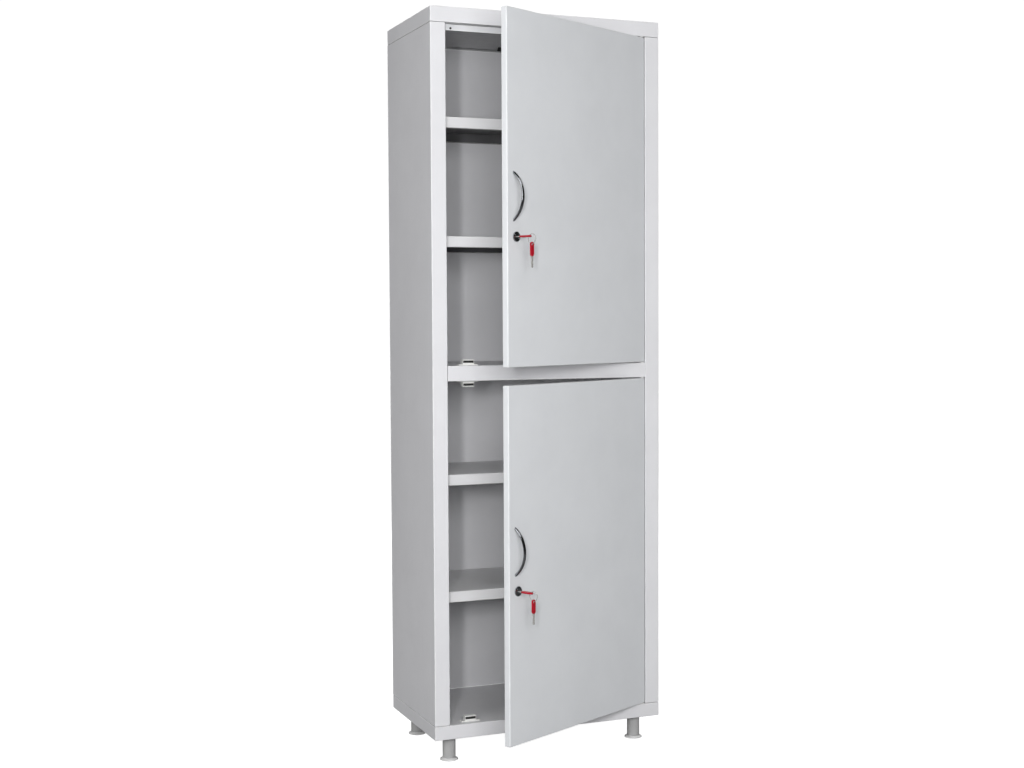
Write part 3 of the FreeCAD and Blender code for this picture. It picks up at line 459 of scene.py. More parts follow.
def rounded_block(low, high, rounding, steps=2):
    """Block between two corners with rounded edges."""
    bm = bmesh.new()
    bmesh.ops.create_cube(bm, size=1)
    low, high = Vector(low), Vector(high)
    bmesh.ops.scale(bm, vec=high - low, verts=bm.verts)
    bmesh.ops.translate(bm, vec=(low + high) / 2, verts=bm.verts)
    bmesh.ops.bevel(bm, geom=bm.edges[:], offset=rounding, segments=steps, affect="EDGES", profile=0.5)
    sharpened(bm, math.radians(50))
    return bm


def swept(points, radius, sides):
    """Round bar along a line of points."""
    bm = bmesh.new()
    points = [Vector(point) for point in points]
    rings = []
    across = None
    for point, before, after in zip(points, points[:1] + points, points[1:] + points[-1:]):
        along = (after - before).normalized()
        if across is None:
            across = along.orthogonal().normalized()
        across = (across - along * across.dot(along)).normalized()
        beside = along.cross(across)
        turns = [2 * math.pi * step / sides for step in range(sides)]
        rings.append([bm.verts.new(point + radius * (math.cos(t) * across + math.sin(t) * beside))
                      for t in turns])
    for first, second in zip(rings, rings[1:]):
        for step in range(sides):
            after = (step + 1) % sides
            bm.faces.new((first[step], first[after], second[after], second[step]))
    bm.faces.new(rings[0])
    bm.faces.new(rings[-1])
    bmesh.ops.recalc_face_normals(bm, faces=bm.faces[:])
    sharpened(bm)
    return bm


def plate(outlines, thick, rounding):
    """Flat plate about the XY plane from an outline and its holes, with rounded edges."""
    curve = bpy.data.curves.new("outline", "CURVE")
    curve.dimensions = "2D"
    curve.fill_mode = "BOTH"
    curve.extrude = thick / 2 - rounding
    curve.bevel_depth = rounding
    curve.bevel_resolution = 2
    curve.offset = -rounding
    for outline in outlines:
        spline = curve.splines.new("POLY")
        spline.points.add(len(outline) - 1)
        for point, (x, y) in zip(spline.points, outline):
            point.co = (x, y, 0, 1)
        spline.use_cyclic_u = True
    source = bpy.data.objects.new("outline", curve)
    bpy.context.scene.collection.objects.link(source)
    mesh = bpy.data.meshes.new_from_object(source)
    bm = bmesh.new()
    bm.from_mesh(mesh)
    bpy.data.objects.remove(source)
    bpy.data.curves.remove(curve)
    bpy.data.meshes.remove(mesh)
    bmesh.ops.remove_doubles(bm, verts=bm.verts[:], dist=WELD)
    bmesh.ops.recalc_face_normals(bm, faces=bm.faces[:])
    sharpened(bm)
    return bm


def carved(bm, *cutters):
    """Form with other closed forms cut out of it."""
    def as_object(form):
        obj = bpy.data.objects.new("carving", as_mesh("carving", form))
        bpy.context.scene.collection.objects.link(obj)
        return obj
    block = as_object(bm)
    tools = [as_object(cutter) for cutter in cutters]
    for tool in tools:
        step = block.modifiers.new("carve", "BOOLEAN")
        step.operation = "DIFFERENCE"
        step.solver = "EXACT"
        step.object = tool
    bpy.context.view_layer.update()
    mesh = bpy.data.meshes.new_from_object(block.evaluated_get(bpy.context.evaluated_depsgraph_get()))
    out = bmesh.new()
    out.from_mesh(mesh)
    bpy.data.meshes.remove(mesh)
    for obj in [block, *tools]:
        used = obj.data
        bpy.data.objects.remove(obj)
        bpy.data.meshes.remove(used)
    sharpened(out)
    return out


def gathered(name, forms, place=Matrix()):
    """One mesh from (form, matrix) pairs; a form given to several pairs is copied."""
    whole = bmesh.new()
    for form, matrix in forms:
        part = form.copy()
        part.transform(matrix)
        mesh = bpy.data.meshes.new("part")
        part.to_mesh(mesh)
        part.free()
        whole.from_mesh(mesh)
        bpy.data.meshes.remove(mesh)
    return as_mesh(name, whole, place)


def circle(radius, middle=(0, 0), start=0.0, end=2 * math.pi, steps=32):
    closing = 0 if abs(end - start - 2 * math.pi) < 1e-6 else 1
    turns = [start + (end - start) * step / steps for step in range(steps + closing)]
    return [(middle[0] + radius * math.cos(t), middle[1] + radius * math.sin(t)) for t in turns]


# Places of the CAD nodes

def local_box(node, place):
    """Lowest and highest corner of a node in the frame of place."""
    back = place.inverted()
    return limits([back @ vert.co for vert in frame["nodes"][node].data.vertices])


def islands(node, place=Matrix()):
    """Lowest and highest corner of each separate solid of a node, in the frame of place."""
    bm = bmesh.new()
    bm.from_mesh(frame["nodes"][node].data)
    bm.transform(place.inverted())
    bmesh.ops.remove_doubles(bm, verts=bm.verts[:], dist=WELD)
    boxes = []
    for seed in bm.verts:
        if seed.tag:
            continue
        seed.tag = True
        found = [seed]
        for vert in found:
            for edge in vert.link_edges:
                other = edge.other_vert(vert)
                if not other.tag:
                    other.tag = True
                    found.append(other)
        boxes.append(limits([vert.co for vert in found]))
    bm.free()
    return sorted(boxes, key=lambda box: [round(x, 5) for x in box[0]])


# Pieces. A form made about Z is turned to face front, to face back or to hang.

UPRIGHT = Matrix.Rotation(math.radians(90), 4, "X")
INTO_DOOR = Matrix.Rotation(math.radians(-90), 4, "X")
HEAD_DOWN = Matrix.Rotation(math.pi, 4, "X")


def stand_in(name, mesh, *nodes):
    """Piece that stands for CAD nodes: it rides on their body and takes their finish."""
    obj = bpy.data.objects.new(name, mesh)
    bpy.context.scene.collection.objects.link(obj)
    mesh.materials.append(FINISH[SLOT_OF[nodes[0]]])
    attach(obj, BODY_OF[nodes[0]])
    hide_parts(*nodes)
    return obj


def formed(name, form, place, node):
    """Piece made from one form, set at a place."""
    return stand_in(name, as_mesh(name, form, place), node)


def folded(name, polygons, node, place=Matrix(), inside=None):
    """Folded sheet piece: its skin rounded at the folds and given the sheet's gauge inwards.
    inside is the finish of its inner face, where that isn't the finish of the outer one."""
    obj = stand_in(name, skin(name, polygons, place), node)
    bend = obj.modifiers.new("fold", "BEVEL")
    bend.width = FOLD_RADIUS
    bend.segments = FOLD_STEPS
    bend.limit_method = "ANGLE"
    bend.angle_limit = math.radians(30)
    gauge = obj.modifiers.new("gauge", "SOLIDIFY")
    gauge.thickness = SHEET
    gauge.offset = -1
    gauge.use_even_offset = True
    if inside:
        obj.data.materials.append(inside)
        gauge.material_offset = 1
    flat = obj.modifiers.new("flat_faces", "WEIGHTED_NORMAL")
    flat.weight = 100


def kept(node, broken_edge=0.0):
    """CAD node that is shown as it is, in its finish, its sharp edges broken where a width is given."""
    obj = frame["nodes"][node]
    obj.data.materials.clear()
    obj.data.materials.append(FINISH[SLOT_OF[node]])
    if broken_edge:
        weld = obj.modifiers.new("weld", "WELD")
        weld.merge_threshold = WELD
        bend = obj.modifiers.new("broken_edge", "BEVEL")
        bend.width = broken_edge
        bend.segments = 2
        bend.limit_method = "ANGLE"
        bend.angle_limit = math.radians(40)
        bend.use_clamp_overlap = False
        flat = obj.modifiers.new("flat_faces", "WEIGHTED_NORMAL")
        flat.weight = 80


def sheet_face(axis, level, first, second):
    """Rectangle square to an axis, between two limits along each of the other two axes."""
    corners = []
    for u, v in ((0, 0), (1, 0), (1, 1), (0, 1)):
        corner = [first[u], second[v]]
        corner.insert(axis, level)
        corners.append(tuple(corner))
    return corners


def tray(low, high, axis, side, hem):
    """Skin of a tray: closed on five sides, with a hem all round its open side, -1 or 1 along an axis."""
    first, second = [i for i in range(3) if i != axis]
    mouth, floor = (low[axis], high[axis]) if side < 0 else (high[axis], low[axis])

    def ring(level, inset):
        return sheet_face(axis, level, (low[first] + inset, high[first] - inset),
                          (low[second] + inset, high[second] - inset))
    rim, bottom, lip = ring(mouth, 0), ring(floor, 0), ring(mouth, hem)
    polygons = [bottom]
    for corner in range(4):
        after = (corner + 1) % 4
        polygons.append([rim[corner], rim[after], bottom[after], bottom[corner]])
        polygons.append([rim[corner], rim[after], lip[after], lip[corner]])
    return polygons


def side_panel(side):
    low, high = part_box(f"{side}_side_panel")
    outer, inner = (low.x, high.x) if side == "left" else (high.x, low.x)
    front, back, bottom, top = low.y, high.y, low.z + SEAM, high.z - SEAM
    turn_in = front + REVEAL
    polygons = [sheet_face(0, outer, (front, back), (bottom, top)),
                sheet_face(1, front, (outer, inner), (bottom, top)),
                sheet_face(1, back, (outer, inner), (bottom, top)),
                sheet_face(0, inner, (front, turn_in), (bottom, top))]
    for level in (bottom, top):
        polygons.append([(outer, front, level), (inner, front, level), (inner, turn_in, level),
                         (inner, back, level), (outer, back, level)])
    folded(f"{side}_side", polygons, f"{side}_side_panel")


def divider():
    low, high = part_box("middle_divider")
    wide, front, back, top = high.x, low.y, high.y, high.z
    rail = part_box("door_stop_strip")[1].x
    behind = front + REVEAL + STILE_GAP
    bottom, lip = low.z, top - DIVIDER_LIP
    polygons = [[(-rail, front, top), (rail, front, top), (rail, behind, top), (wide, behind, top),
                 (wide, back, top), (-wide, back, top), (-wide, behind, top), (-rail, behind, top)],
                sheet_face(1, front, (-rail, rail), (bottom, top)),
                sheet_face(2, bottom, (-rail, rail), (front, front + RAIL_RETURN)),
                sheet_face(1, back, (-wide, wide), (lip, top))]
    for x in (-wide, wide):
        polygons.append(sheet_face(0, x, (behind, back), (lip, top)))
    folded("divider_with_rail", polygons, "middle_divider")


def stop_strip():
    low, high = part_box("door_stop_strip")
    polygons = [sheet_face(1, low.y, (low.x, high.x), (low.z, high.z)),
                sheet_face(2, high.z, (low.x, high.x), (low.y, high.y))]
    folded("stop_strip", polygons, "door_stop_strip")
    low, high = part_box("door_buffer")
    radius, tall = (high.x - low.x) / 2, high.y - low.y
    dome = [(0, 0), (radius, 0), (radius, 0.45 * tall), (0.93 * radius, 0.72 * tall),
            (0.7 * radius, 0.92 * tall), (0.35 * radius, tall), (0, tall)]
    middle = (low + high) / 2
    seat = Matrix.Translation((middle.x, high.y, middle.z)) @ UPRIGHT
    formed("stop_buffer", lathe(dome, 28), seat, "door_buffer")


def knob():
    """Rubber knob under the ceiling: a bell with a rolled rim, a neck through the panel and a lip above."""
    low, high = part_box("ceiling_knob")
    middle = (low + high) / 2
    bell = (high.x - low.x) / 2
    under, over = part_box("ceiling_panel")[0].z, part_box("ceiling_panel")[1].z
    drop = under - low.z
    profile = [(0, low.z + 1.2 * MM), (0.55 * bell, low.z + 0.9 * MM), (0.75 * bell, low.z),
               (0.9 * bell, low.z), (bell, low.z + 0.12 * drop), (0.97 * bell, low.z + 0.25 * drop),
               (0.8 * bell, low.z + 0.55 * drop), (KNOB_NECK, low.z + 0.85 * drop), (KNOB_NECK, over),
               (KNOB_LIP, over), (KNOB_LIP, over + 0.5 * (high.z - over)), (KNOB_NECK, high.z), (0, high.z)]
    seat = Matrix.Translation((middle.x, middle.y, 0))
    formed("ceiling_rubber_knob", lathe(profile, 36), seat, "ceiling_knob")


def rivet(head, shank, head_tall, shank_long):
    """Blind rivet about Z: domed head above zero with the broken mandrel in it, shank below."""
    return lathe([(0, -shank_long), (shank, -shank_long), (shank, 0), (head, 0),
                  (0.96 * head, 0.3 * head_tall), (0.8 * head, 0.7 * head_tall), (0.55 * head, head_tall),
                  (0.32 * head, head_tall), (0.28 * head, 0.6 * head_tall), (0, 0.6 * head_tall)], 24)


def rivets():
    forms = []
    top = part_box("top_cap")[0].z
    for low, high in islands("frame_rivets"):
        middle = (low + high) / 2
        form = rivet(RIVET_HEAD, RIVET_SHANK, RIVET_HEAD_TALL, high.z - low.z - RIVET_HEAD_TALL)
        if high.z > top:
            seat = Matrix.Translation((middle.x, middle.y, low.z + RIVET_HEAD_TALL)) @ HEAD_DOWN
        else:
            seat = Matrix.Translation((middle.x, middle.y, high.z - RIVET_HEAD_TALL))
        forms.append((form, seat))
    stand_in("cap_and_base_rivets", gathered("cap_and_base_rivets", forms), "frame_rivets")
    forms = []
    for low, high in islands("back_rivets"):
        middle = (low + high) / 2
        form = rivet(RIVET_HEAD, RIVET_SHANK, RIVET_HEAD_TALL, high.y - low.y - RIVET_HEAD_TALL)
        seat = Matrix.Translation((middle.x, low.y + RIVET_HEAD_TALL, middle.z))
        forms.append((form, seat @ UPRIGHT))
    stand_in("back_panel_rivets", gathered("back_panel_rivets", forms), "back_rivets")


def carcass():
    for name, node in (("cap_tray", "top_cap"), ("base_floor_tray", "base_tray")):
        low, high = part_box(node)
        folded(name, tray(low, high, 2, -1, TRAY_HEM), node)
    side_panel("left")
    side_panel("right")
    divider()
    stop_strip()
    knob()
    rivets()
    kept("ceiling_panel")
    kept("back_panel")


def shelves():
    for node in ("upper_shelf_high", "upper_shelf_low", "lower_shelf_high", "lower_shelf_low"):
        low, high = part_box(node)
        folded(f"{node}_tray", tray(low, high, 2, -1, SHELF_HEM), node, inside=SHELF_INSIDE_SHADE)
    for node in ("left_shelf_strips", "right_shelf_strips", "shelf_clips"):
        kept(node, BROKEN_EDGE)


# Legs and catches

def threaded(radius, low, high, pitch, depth):
    """Profile points of a rolled thread along a stem."""
    turns = max(1, int((high - low) / pitch))
    step = (high - low) / turns
    profile = []
    for turn in range(turns):
        start = low + turn * step
        profile += [(radius - depth, start), (radius - depth, start + 0.2 * step),
                    (radius, start + 0.45 * step), (radius, start + 0.75 * step)]
    return profile + [(radius - depth, high)]


def leg_sleeves():
    """Plastic leg tubes with a groove above their lower rim."""
    forms = []
    for low, high in islands("leg_tubes"):
        radius = (high.x - low.x) / 2
        foot, top = low.z, high.z
        profile = [(0, foot + LEG_BORE_DEEP), (LEG_BORE, foot + LEG_BORE_DEEP), (LEG_BORE, foot),
                   (radius - LEG_BREAK, foot), (radius - 0.3 * LEG_BREAK, foot + 0.3 * LEG_BREAK),
                   (radius, foot + LEG_BREAK), (radius, foot + 4.5 * MM),
                   (radius - LEG_GROOVE, foot + 5 * MM), (radius - LEG_GROOVE, foot + 5.8 * MM),
                   (radius, foot + 6.3 * MM), (radius, top - 0.6 * MM), (radius - 0.6 * MM, top),
                   (LEG_BOLT_BORE, top), (LEG_BOLT_BORE, top - LEG_BOLT_DEEP), (0, top - LEG_BOLT_DEEP)]
        middle = (low + high) / 2
        forms.append((lathe(profile, 64), Matrix.Translation((middle.x, middle.y, 0))))
    stand_in("leg_sleeves", gathered("leg_sleeves", forms), "leg_tubes")


def foot_pads():
    """Levelling feet: a thin disc, a short cone and a threaded stem."""
    for node in ("foot_front_left", "foot_front_right", "foot_back_left", "foot_back_right"):
        low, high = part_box(node)
        middle = (low + high) / 2
        disc = (high.x - low.x) / 2
        neck = disc - 6 * MM
        cone_top = FOOT_DISC + FOOT_CONE
        profile = [(0, 0.4 * MM), (0.7 * disc, 0.4 * MM), (0.72 * disc, 0), (disc - 0.8 * MM, 0),
                   (disc - 0.2 * MM, 0.3 * MM), (disc, 0.9 * MM), (disc, FOOT_DISC - 1.1 * MM),
                   (disc - 0.25 * MM, FOOT_DISC - 0.4 * MM), (disc - 0.9 * MM, FOOT_DISC),
                   (disc - 2.4 * MM, FOOT_DISC + 0.35 * MM), (neck + 1.2 * MM, FOOT_DISC + 1.2 * MM),
                   (neck + 0.2 * MM, FOOT_DISC + 1.9 * MM), (neck, cone_top),
                   (FOOT_STEM - FOOT_THREAD, cone_top)]
        profile += threaded(FOOT_STEM, cone_top + FOOT_PITCH, high.z - FOOT_PITCH, FOOT_PITCH, FOOT_THREAD)
        profile += [(FOOT_STEM - 1.2 * MM, high.z), (0, high.z)]
        seat = Matrix.Translation((middle.x, middle.y, low.z))
        pad = formed(f"{node}_pad", lathe(profile, 64), seat, node)
        pad.data.materials[0] = FOOT_PALE


def leg_bolts():
    """Hexagon bolts through the leg plates."""
    forms = []
    for low, high in islands("leg_bolts"):
        middle = (low + high) / 2
        head = (high.x - low.x) / 2
        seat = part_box("leg_plates")[1].z
        cap = lathe([(0, seat), (head, seat), (head, high.z - 0.6 * MM), (head - 0.9 * MM, high.z),
                     (0, high.z)], 6)
        stem = [(0, low.z), (LEG_BOLT - 0.8 * MM, low.z)]
        stem += threaded(LEG_BOLT, low.z + 0.8 * MM, seat - 3 * MM, LEG_BOLT_PITCH, LEG_BOLT_THREAD)
        stem += [(LEG_BOLT, seat - 2.4 * MM), (LEG_BOLT, seat), (0, seat)]
        spot = Matrix.Translation((middle.x, middle.y, 0))
        forms += [(cap, spot), (lathe(stem, 32), spot)]
    stand_in("leg_hex_bolts", gathered("leg_hex_bolts", forms), "leg_bolts")


def legs():
    leg_sleeves()
    foot_pads()
    kept("leg_plates", BROKEN_EDGE)
    leg_bolts()


def cross_screw(head, head_tall, shank, shank_long):
    """Pan-head screw about Z with a cross recess: head above zero, threaded shank below."""
    profile = [(0, -shank_long), (0.4 * shank, -shank_long)]
    profile += threaded(shank, 0.8 * shank - shank_long, -0.4 * shank, 0.9 * shank, 0.18 * shank)
    profile += [(shank, 0), (head, 0), (head, 0.3 * head_tall), (0.93 * head, 0.62 * head_tall),
                (0.75 * head, 0.88 * head_tall), (0.45 * head, head_tall), (0, head_tall)]
    deep = 0.45 * head_tall
    half = 0.11 * head
    long_arm = 0.55 * head
    bars = [rounded_block((-long_arm, -half, deep), (long_arm, half, 2 * head_tall), 0.05 * half, 1),
            rounded_block((-half, -long_arm, deep), (half, long_arm, 2 * head_tall), 0.05 * half, 1)]
    return carved(lathe(profile, 32), *bars)


def catches():
    kept("catch_housings", CATCH_EDGE)
    forms = []
    for low, high in islands("catch_magnets"):
        magnet = rounded_block((low.x + 0.2 * MM, low.y + 0.3 * MM, low.z + CATCH_POLE),
                               (high.x - 0.2 * MM, high.y, high.z - CATCH_POLE), 0.1 * MM, 1)
        forms.append((magnet, Matrix()))
        for z in (low.z, high.z - CATCH_POLE):
            pole = rounded_block((low.x, low.y, z), (high.x, high.y, z + CATCH_POLE), 0.15 * MM)
            forms.append((pole, Matrix()))
    stand_in("catch_magnet_packs", gathered("catch_magnet_packs", forms), "catch_magnets")
    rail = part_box("middle_divider")
    screw = cross_screw(CATCH_SCREW_HEAD, CATCH_SCREW_HEAD_TALL, CATCH_SCREW, CATCH_SCREW_LONG)
    forms = []
    for low, high in islands("catch_screws"):
        middle = (low + high) / 2
        if low.z < rail[0].z < high.z:
            seat = Matrix.Translation((middle.x, middle.y, low.z + CATCH_SCREW_HEAD_TALL)) @ HEAD_DOWN
        else:
            seat = Matrix.Translation((middle.x, middle.y, high.z - CATCH_SCREW_HEAD_TALL))
        forms.append((screw, seat))
    stand_in("catch_cross_screws", gathered("catch_cross_screws", forms), "catch_screws")
    kept("hinge_bushes", BROKEN_EDGE)


# Doors, made shut about their pivot axis and set open by their place

def door_place(door):
    swing = next(joint for joint in frame["joints"] if joint["name"] == f"{door}_door_swing")
    opened = -math.radians(swing["range_deg"][0])
    return Matrix.Translation(swing["pos_m"]) @ Matrix.Rotation(opened, 4, "Z")


def door_leaf(door, place):
    low, high = local_box(f"{door}_door_pan", place)
    folded(f"{door}_door_leaf", tray(low, high, 1, 1, DOOR_RETURN), f"{door}_door_pan", place)
    low, high = local_box(f"{door}_door_stiffener", place)
    polygons = [sheet_face(1, high.y, (low.x, high.x), (low.z, high.z))]
    for x in (low.x, high.x):
        polygons.append(sheet_face(0, x, (low.y, high.y), (low.z, high.z)))
    folded(f"{door}_door_rib", polygons, f"{door}_door_stiffener", place)
    kept(f"{door}_pivot_pins", BROKEN_EDGE)


def bow_handle(door, place):
    low, high = local_box(f"{door}_handle", place)
    middle = (low + high) / 2
    face = high.y
    radius = (HANDLE_SPAN ** 2 / 4 + HANDLE_RISE ** 2) / (2 * HANDLE_RISE)
    reach = math.asin(HANDLE_SPAN / 2 / radius) + HANDLE_OVERRUN
    steps = 64
    turns = [reach * (2 * step / steps - 1) for step in range(steps + 1)]
    centre = face - HANDLE_RISE + radius
    points = [(middle.x, centre - radius * math.cos(t), middle.z + radius * math.sin(t)) for t in turns]
    bar = swept(points, HANDLE_ROD, 28)
    everything = bar.verts[:] + bar.edges[:] + bar.faces[:]
    cut = bmesh.ops.bisect_plane(bar, geom=everything, plane_co=(0, face, 0), plane_no=(0, 1, 0),
                                 clear_outer=True)
    rims = [edge for edge in cut["geom_cut"] if isinstance(edge, bmesh.types.BMEdge)]
    bmesh.ops.edgeloop_fill(bar, edges=rims)
    sharpened(bar)
    formed(f"{door}_bow_handle", bar, place, f"{door}_handle")
    forms = []
    for low, high in islands(f"{door}_handle_screws", place):
        spot = (low + high) / 2
        screw = cross_screw(HANDLE_SCREW_HEAD, HANDLE_SCREW_HEAD_TALL, HANDLE_SCREW,
                            high.y - low.y - HANDLE_SCREW_HEAD_TALL)
        seat = Matrix.Translation((spot.x, high.y - HANDLE_SCREW_HEAD_TALL, spot.z))
        forms.append((screw, seat @ INTO_DOOR))
    name = f"{door}_handle_cross_screws"
    stand_in(name, gathered(name, forms, place), f"{door}_handle_screws")


def cam_lock(door, place):
    low, high = local_box(f"{door}_lock_barrel", place)
    axis = (low + high) / 2
    deep = high.y - low.y
    profile = [(LOCK_BORE, 0.4 * MM), (LOCK_BORE + 0.35 * MM, 0.05 * MM), (LOCK_GROOVE_IN, 0),
               (LOCK_GROOVE_IN + 0.3 * MM, LOCK_GROOVE_DEEP), (LOCK_GROOVE_OUT - 0.3 * MM, LOCK_GROOVE_DEEP),
               (LOCK_GROOVE_OUT, 0), (LOCK_FACE - 1.4 * MM, 0.05 * MM), (LOCK_FACE - 0.6 * MM, 0.3 * MM),
               (LOCK_FACE - 0.15 * MM, 0.8 * MM), (LOCK_FACE, 1.4 * MM), (LOCK_FACE, LOCK_FACE_THICK),
               (LOCK_BARREL, LOCK_FACE_THICK)]
    profile += threaded(LOCK_BARREL, LOCK_FACE_THICK + 0.8 * MM, deep - 0.8 * MM, LOCK_PITCH, LOCK_THREAD)
    profile += [(LOCK_BARREL - 0.6 * MM, deep), (LOCK_BORE, deep)]
    seat = Matrix.Translation((axis.x, low.y, axis.z)) @ INTO_DOOR
    formed(f"{door}_lock_housing", lathe(profile, 56), place @ seat, f"{door}_lock_barrel")
    low, high = local_box(f"{door}_lock_nut", place)
    flats = circle(LOCK_NUT_CORNER, steps=6)
    nut = plate([flats, circle(LOCK_BARREL + 0.05 * MM, steps=48)], high.y - low.y, 0.35 * MM)
    seat = Matrix.Translation((axis.x, (low.y + high.y) / 2, axis.z)) @ UPRIGHT
    formed(f"{door}_lock_hex_nut", nut, place @ seat, f"{door}_lock_nut")
    kept(f"{door}_lock_plug", PLUG_EDGE)
    low, high = local_box(f"{door}_lock_cam", place)
    half = (high.x - low.x) / 2
    inner, level = half - CAM_CORNER, CAM_CORNER - (axis.z - low.z)
    outline = circle(half, (0, 0), 0, math.pi, 24)
    outline += circle(CAM_CORNER, (-inner, level), math.pi, 1.5 * math.pi, 8)
    outline += circle(CAM_CORNER, (inner, level), 1.5 * math.pi, 2 * math.pi, 8)
    square = [(-CAM_HOLE, -CAM_HOLE), (CAM_HOLE, -CAM_HOLE), (CAM_HOLE, CAM_HOLE), (-CAM_HOLE, CAM_HOLE)]
    arm = plate([outline, square], high.y - low.y, 0.3 * MM)
    seat = Matrix.Translation((axis.x, (low.y + high.y) / 2, axis.z)) @ UPRIGHT
    formed(f"{door}_lock_arm", arm, place @ seat, f"{door}_lock_cam")
    low, high = local_box(f"{door}_cam_screw", place)
    screw = cross_screw(CAM_SCREW_HEAD, CAM_SCREW_HEAD_TALL, CAM_SCREW, high.y - low.y - CAM_SCREW_HEAD_TALL)
    seat = Matrix.Translation((axis.x, high.y - CAM_SCREW_HEAD_TALL, axis.z)) @ INTO_DOOR
    formed(f"{door}_lock_arm_screw", screw, place @ seat, f"{door}_cam_screw")


def key_blade(long, half):
    """Outline of a key blade along +Y from its tang: shoulder, a row of cuts and a pointed tip."""
    shoulder, neck = KEY_TANG - 1 * MM, KEY_TANG + 3 * MM
    tang, body = 0.7 * half, 0.86 * half
    outline = [(-tang, 0), (tang, 0), (tang, shoulder), (half, shoulder),
               (half, neck - 0.6 * MM), (body, neck)]
    pitch = (long - neck - 4 * MM) / len(KEY_CUTS)
    for index, depth in enumerate(KEY_CUTS):
        start = neck + pitch * (index + 0.35)
        level = body - depth * half
        outline += [(body, start), (level, start + 0.28 * pitch), (level, start + 0.5 * pitch),
                    (body, start + 0.78 * pitch)]
    outline += [(body, long - 2.6 * MM), (0.25 * half, long - 0.3 * MM), (0, long),
                (-0.45 * half, long - 0.5 * MM), (-body, long - 2.2 * MM), (-body, neck),
                (-half, neck - 0.6 * MM), (-half, shoulder), (-tang, shoulder)]
    return outline


def key_head(long, half):
    """Outline of a key's moulded head along +Y, its ring hole and the sunk panel on its faces."""
    outline = circle(half, (0, long - half), 0, math.pi, 20)
    outline += circle(half, (0, half), math.pi, 2 * math.pi, 20)
    hole = circle(KEY_HOLE, (0, KEY_HOLE_FROM_END), steps=28)
    inset = half - 1.7 * MM
    start, end = KEY_HOLE_FROM_END + KEY_HOLE + 1.3 * MM + inset, long - 2.4 * MM - inset
    panel = circle(inset, (0, end), 0, math.pi, 16) + circle(inset, (0, start), math.pi, 2 * math.pi, 16)
    return outline, hole, panel


def moulded_head(long, half, thick):
    outline, hole, panel = key_head(long, half)
    head = plate([outline, hole], thick, KEY_HEAD_EDGE)
    cutters = []
    for side in (-1, 1):
        cutter = plate([panel], thick, 0.1 * MM)
        bmesh.ops.translate(cutter, vec=(0, 0, side * (thick - KEY_PANEL_SUNK)), verts=cutter.verts[:])
        cutters.append(cutter)
    return carved(head, *cutters)


def split_ring(door, place):
    """Flat coil of wire, almost two turns."""
    low, high = local_box(f"{door}_key_ring", place)
    middle = (low + high) / 2
    radius = (high.z - low.z) / 2 - RING_WIRE
    steps = 120
    points = []
    for step in range(steps + 1):
        share = step / steps
        t = 2 * math.pi * RING_TURNS * share + RING_START
        points.append((middle.x + 1.15 * RING_WIRE * (2 * share - 1), middle.y + radius * math.cos(t),
                       middle.z + radius * math.sin(t)))
    formed(f"{door}_split_ring", swept(points, RING_WIRE, 10), place, f"{door}_key_ring")


def keys(door, place):
    blade_low, blade_high = local_box(f"{door}_key_blade", place)
    head_low, head_high = local_box(f"{door}_key_head", place)
    middle = (blade_low + blade_high) / 2
    half, thick = (blade_high.x - blade_low.x) / 2, blade_high.z - blade_low.z
    head_half, head_thick = (head_high.x - head_low.x) / 2, head_high.z - head_low.z
    seat = Matrix.Translation((middle.x, blade_low.y, middle.z))
    blade = plate([key_blade(blade_high.y - blade_low.y, half)], thick, KEY_EDGE)
    formed(f"{door}_key_bit", blade, place @ seat, f"{door}_key_blade")
    seat = Matrix.Translation((middle.x, head_low.y, middle.z))
    head = moulded_head(head_high.y - head_low.y, head_half, head_thick)
    formed(f"{door}_key_grip", head, place @ seat, f"{door}_key_head")
    split_ring(door, place)
    blade_low, blade_high = local_box(f"{door}_spare_key_blade", place)
    head_low, head_high = local_box(f"{door}_spare_key_head", place)
    middle = (blade_low + blade_high) / 2
    hanging = UPRIGHT @ Matrix.Rotation(math.pi, 4, "Z")
    seat = Matrix.Translation((middle.x, middle.y, blade_high.z)) @ hanging
    blade = plate([key_blade(blade_high.z - blade_low.z, half)], thick, KEY_EDGE)
    formed(f"{door}_spare_bit", blade, place @ seat, f"{door}_spare_key_blade")
    seat = Matrix.Translation((middle.x, middle.y, head_high.z)) @ hanging
    head = moulded_head(head_high.z - head_low.z, head_half, head_thick)
    formed(f"{door}_spare_grip", head, place @ seat, f"{door}_spare_key_head")


# Floor, light and camera

def floor():
    material, tree, shader = finish("studio_floor", Roughness=0.9, Emission_Color=(1, 1, 1, 1))
    place = add(tree, "ShaderNodeTexCoord").outputs["Object"]
    cloud = noise(tree, place, 1.5, 3)
    path = add(tree, "ShaderNodeLightPath").outputs
    seen = mixed(tree, cloud, grey(FLOOR_TONE), grey(FLOOR_CLOUD))
    tone = mixed(tree, path["Is Glossy Ray"], seen, grey(FLOOR_IN_GLOSS))
    tree.links.new(tone, shader.inputs["Base Color"])
    lift = maths(tree, "MULTIPLY", path["Is Camera Ray"], FLOOR_LIFT)
    tree.links.new(lift, shader.inputs["Emission Strength"])
    bm = bmesh.new()
    bmesh.ops.create_grid(bm, x_segments=1, y_segments=1, size=FLOOR_HALF)
    obj = bpy.data.objects.new("studio_floor", as_mesh("studio_floor", bm))
    obj.data.materials.append(material)
    bpy.context.scene.collection.objects.link(obj)


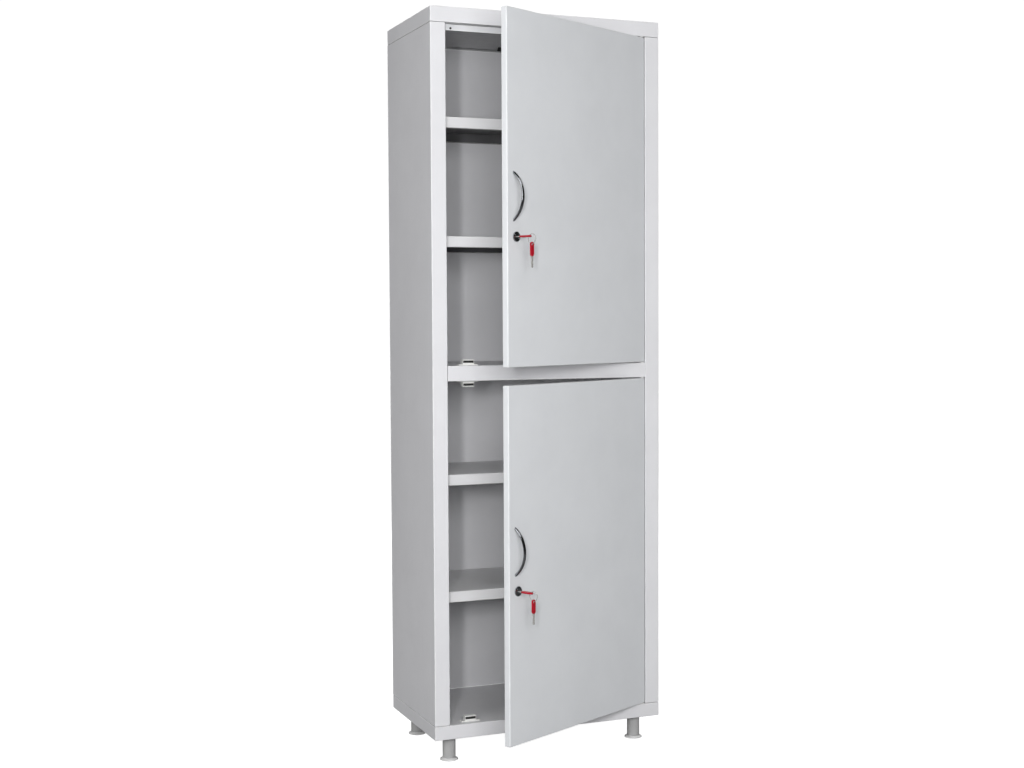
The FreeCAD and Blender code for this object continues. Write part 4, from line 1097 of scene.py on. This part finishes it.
def lamp(name, azimuth, elevation, distance, wide, tall, power, mirrored=True):
    """Soft box that looks at the middle of the cabinet; azimuth 0 is in front, positive to the right.
    A lamp that isn't mirrored lights the cabinet without a bright shape in its gloss."""
    light = bpy.data.lights.new(name, "AREA")
    light.shape = "RECTANGLE"
    light.size, light.size_y = wide, tall
    light.energy = power
    obj = bpy.data.objects.new(name, light)
    turn, rise = math.radians(azimuth), math.radians(elevation)
    away = Vector((math.sin(turn) * math.cos(rise), -math.cos(turn) * math.cos(rise), math.sin(rise)))
    obj.location = LAMP_AIM + distance * away
    obj.rotation_euler = away.to_track_quat("Z", "Y").to_euler()
    obj.visible_glossy = mirrored
    bpy.context.scene.collection.objects.link(obj)


def studio():
    scene = bpy.context.scene
    world = bpy.data.worlds.new("studio")
    world.use_nodes = True
    tree = world.node_tree
    tree.nodes.clear()
    path = add(tree, "ShaderNodeLightPath").outputs
    ambient = ranged(tree, path["Is Glossy Ray"], 0, 1, GLOW, MIRROR_GLOW)
    level = add(tree, "ShaderNodeMix", {0: path["Is Camera Ray"], 2: ambient, 3: BACKDROP}).outputs[0]
    glow = add(tree, "ShaderNodeBackground", {"Color": (1, 1, 1, 1), "Strength": level})
    out = add(tree, "ShaderNodeOutputWorld")
    tree.links.new(glow.outputs[0], out.inputs["Surface"])
    scene.world = world
    scene.view_settings.view_transform = "Standard"
    lamp("front_box", -15, 9, 3.2, 1.3, 1.1, 46, mirrored=False)
    lamp("left_box", -65, 20, 3.2, 1.2, 1.6, 22)
    lamp("edge_lamp", -28, 5, 3.6, 0.16, 0.5, 33, mirrored=False)
    lamp("high_box", -8, 46, 3.4, 1.5, 1.2, 11)
    lamp("rear_box", 165, 40, 4.5, 2.4, 1.8, 80)
    lamp("right_box", 125, 30, 4.0, 1.6, 1.6, 24)


def camera():
    right = Vector((math.cos(CAMERA_YAW), math.sin(CAMERA_YAW), 0))
    flat = math.cos(CAMERA_PITCH)
    ahead = Vector((-math.sin(CAMERA_YAW) * flat, math.cos(CAMERA_YAW) * flat, math.sin(CAMERA_PITCH)))
    down = ahead.cross(right)
    tilted = math.cos(CAMERA_ROLL) * right + math.sin(CAMERA_ROLL) * down
    up = tilted.cross(ahead)
    lens = bpy.data.cameras.new("photo_camera")
    lens.sensor_width = SENSOR_WIDE
    lens.lens = PHOTO_FOCAL / PHOTO_WIDE * SENSOR_WIDE
    obj = bpy.data.objects.new("photo_camera", lens)
    turn = Matrix((tilted, up, -ahead)).transposed()
    obj.matrix_world = Matrix.Translation(CAMERA_PLACE) @ turn.to_4x4()
    bpy.context.scene.collection.objects.link(obj)
    bpy.context.scene.camera = obj


carcass()
shelves()
legs()
catches()
for door in ("upper", "lower"):
    place = door_place(door)
    door_leaf(door, place)
    bow_handle(door, place)
    cam_lock(door, place)
    keys(door, place)
floor()
studio()
camera()
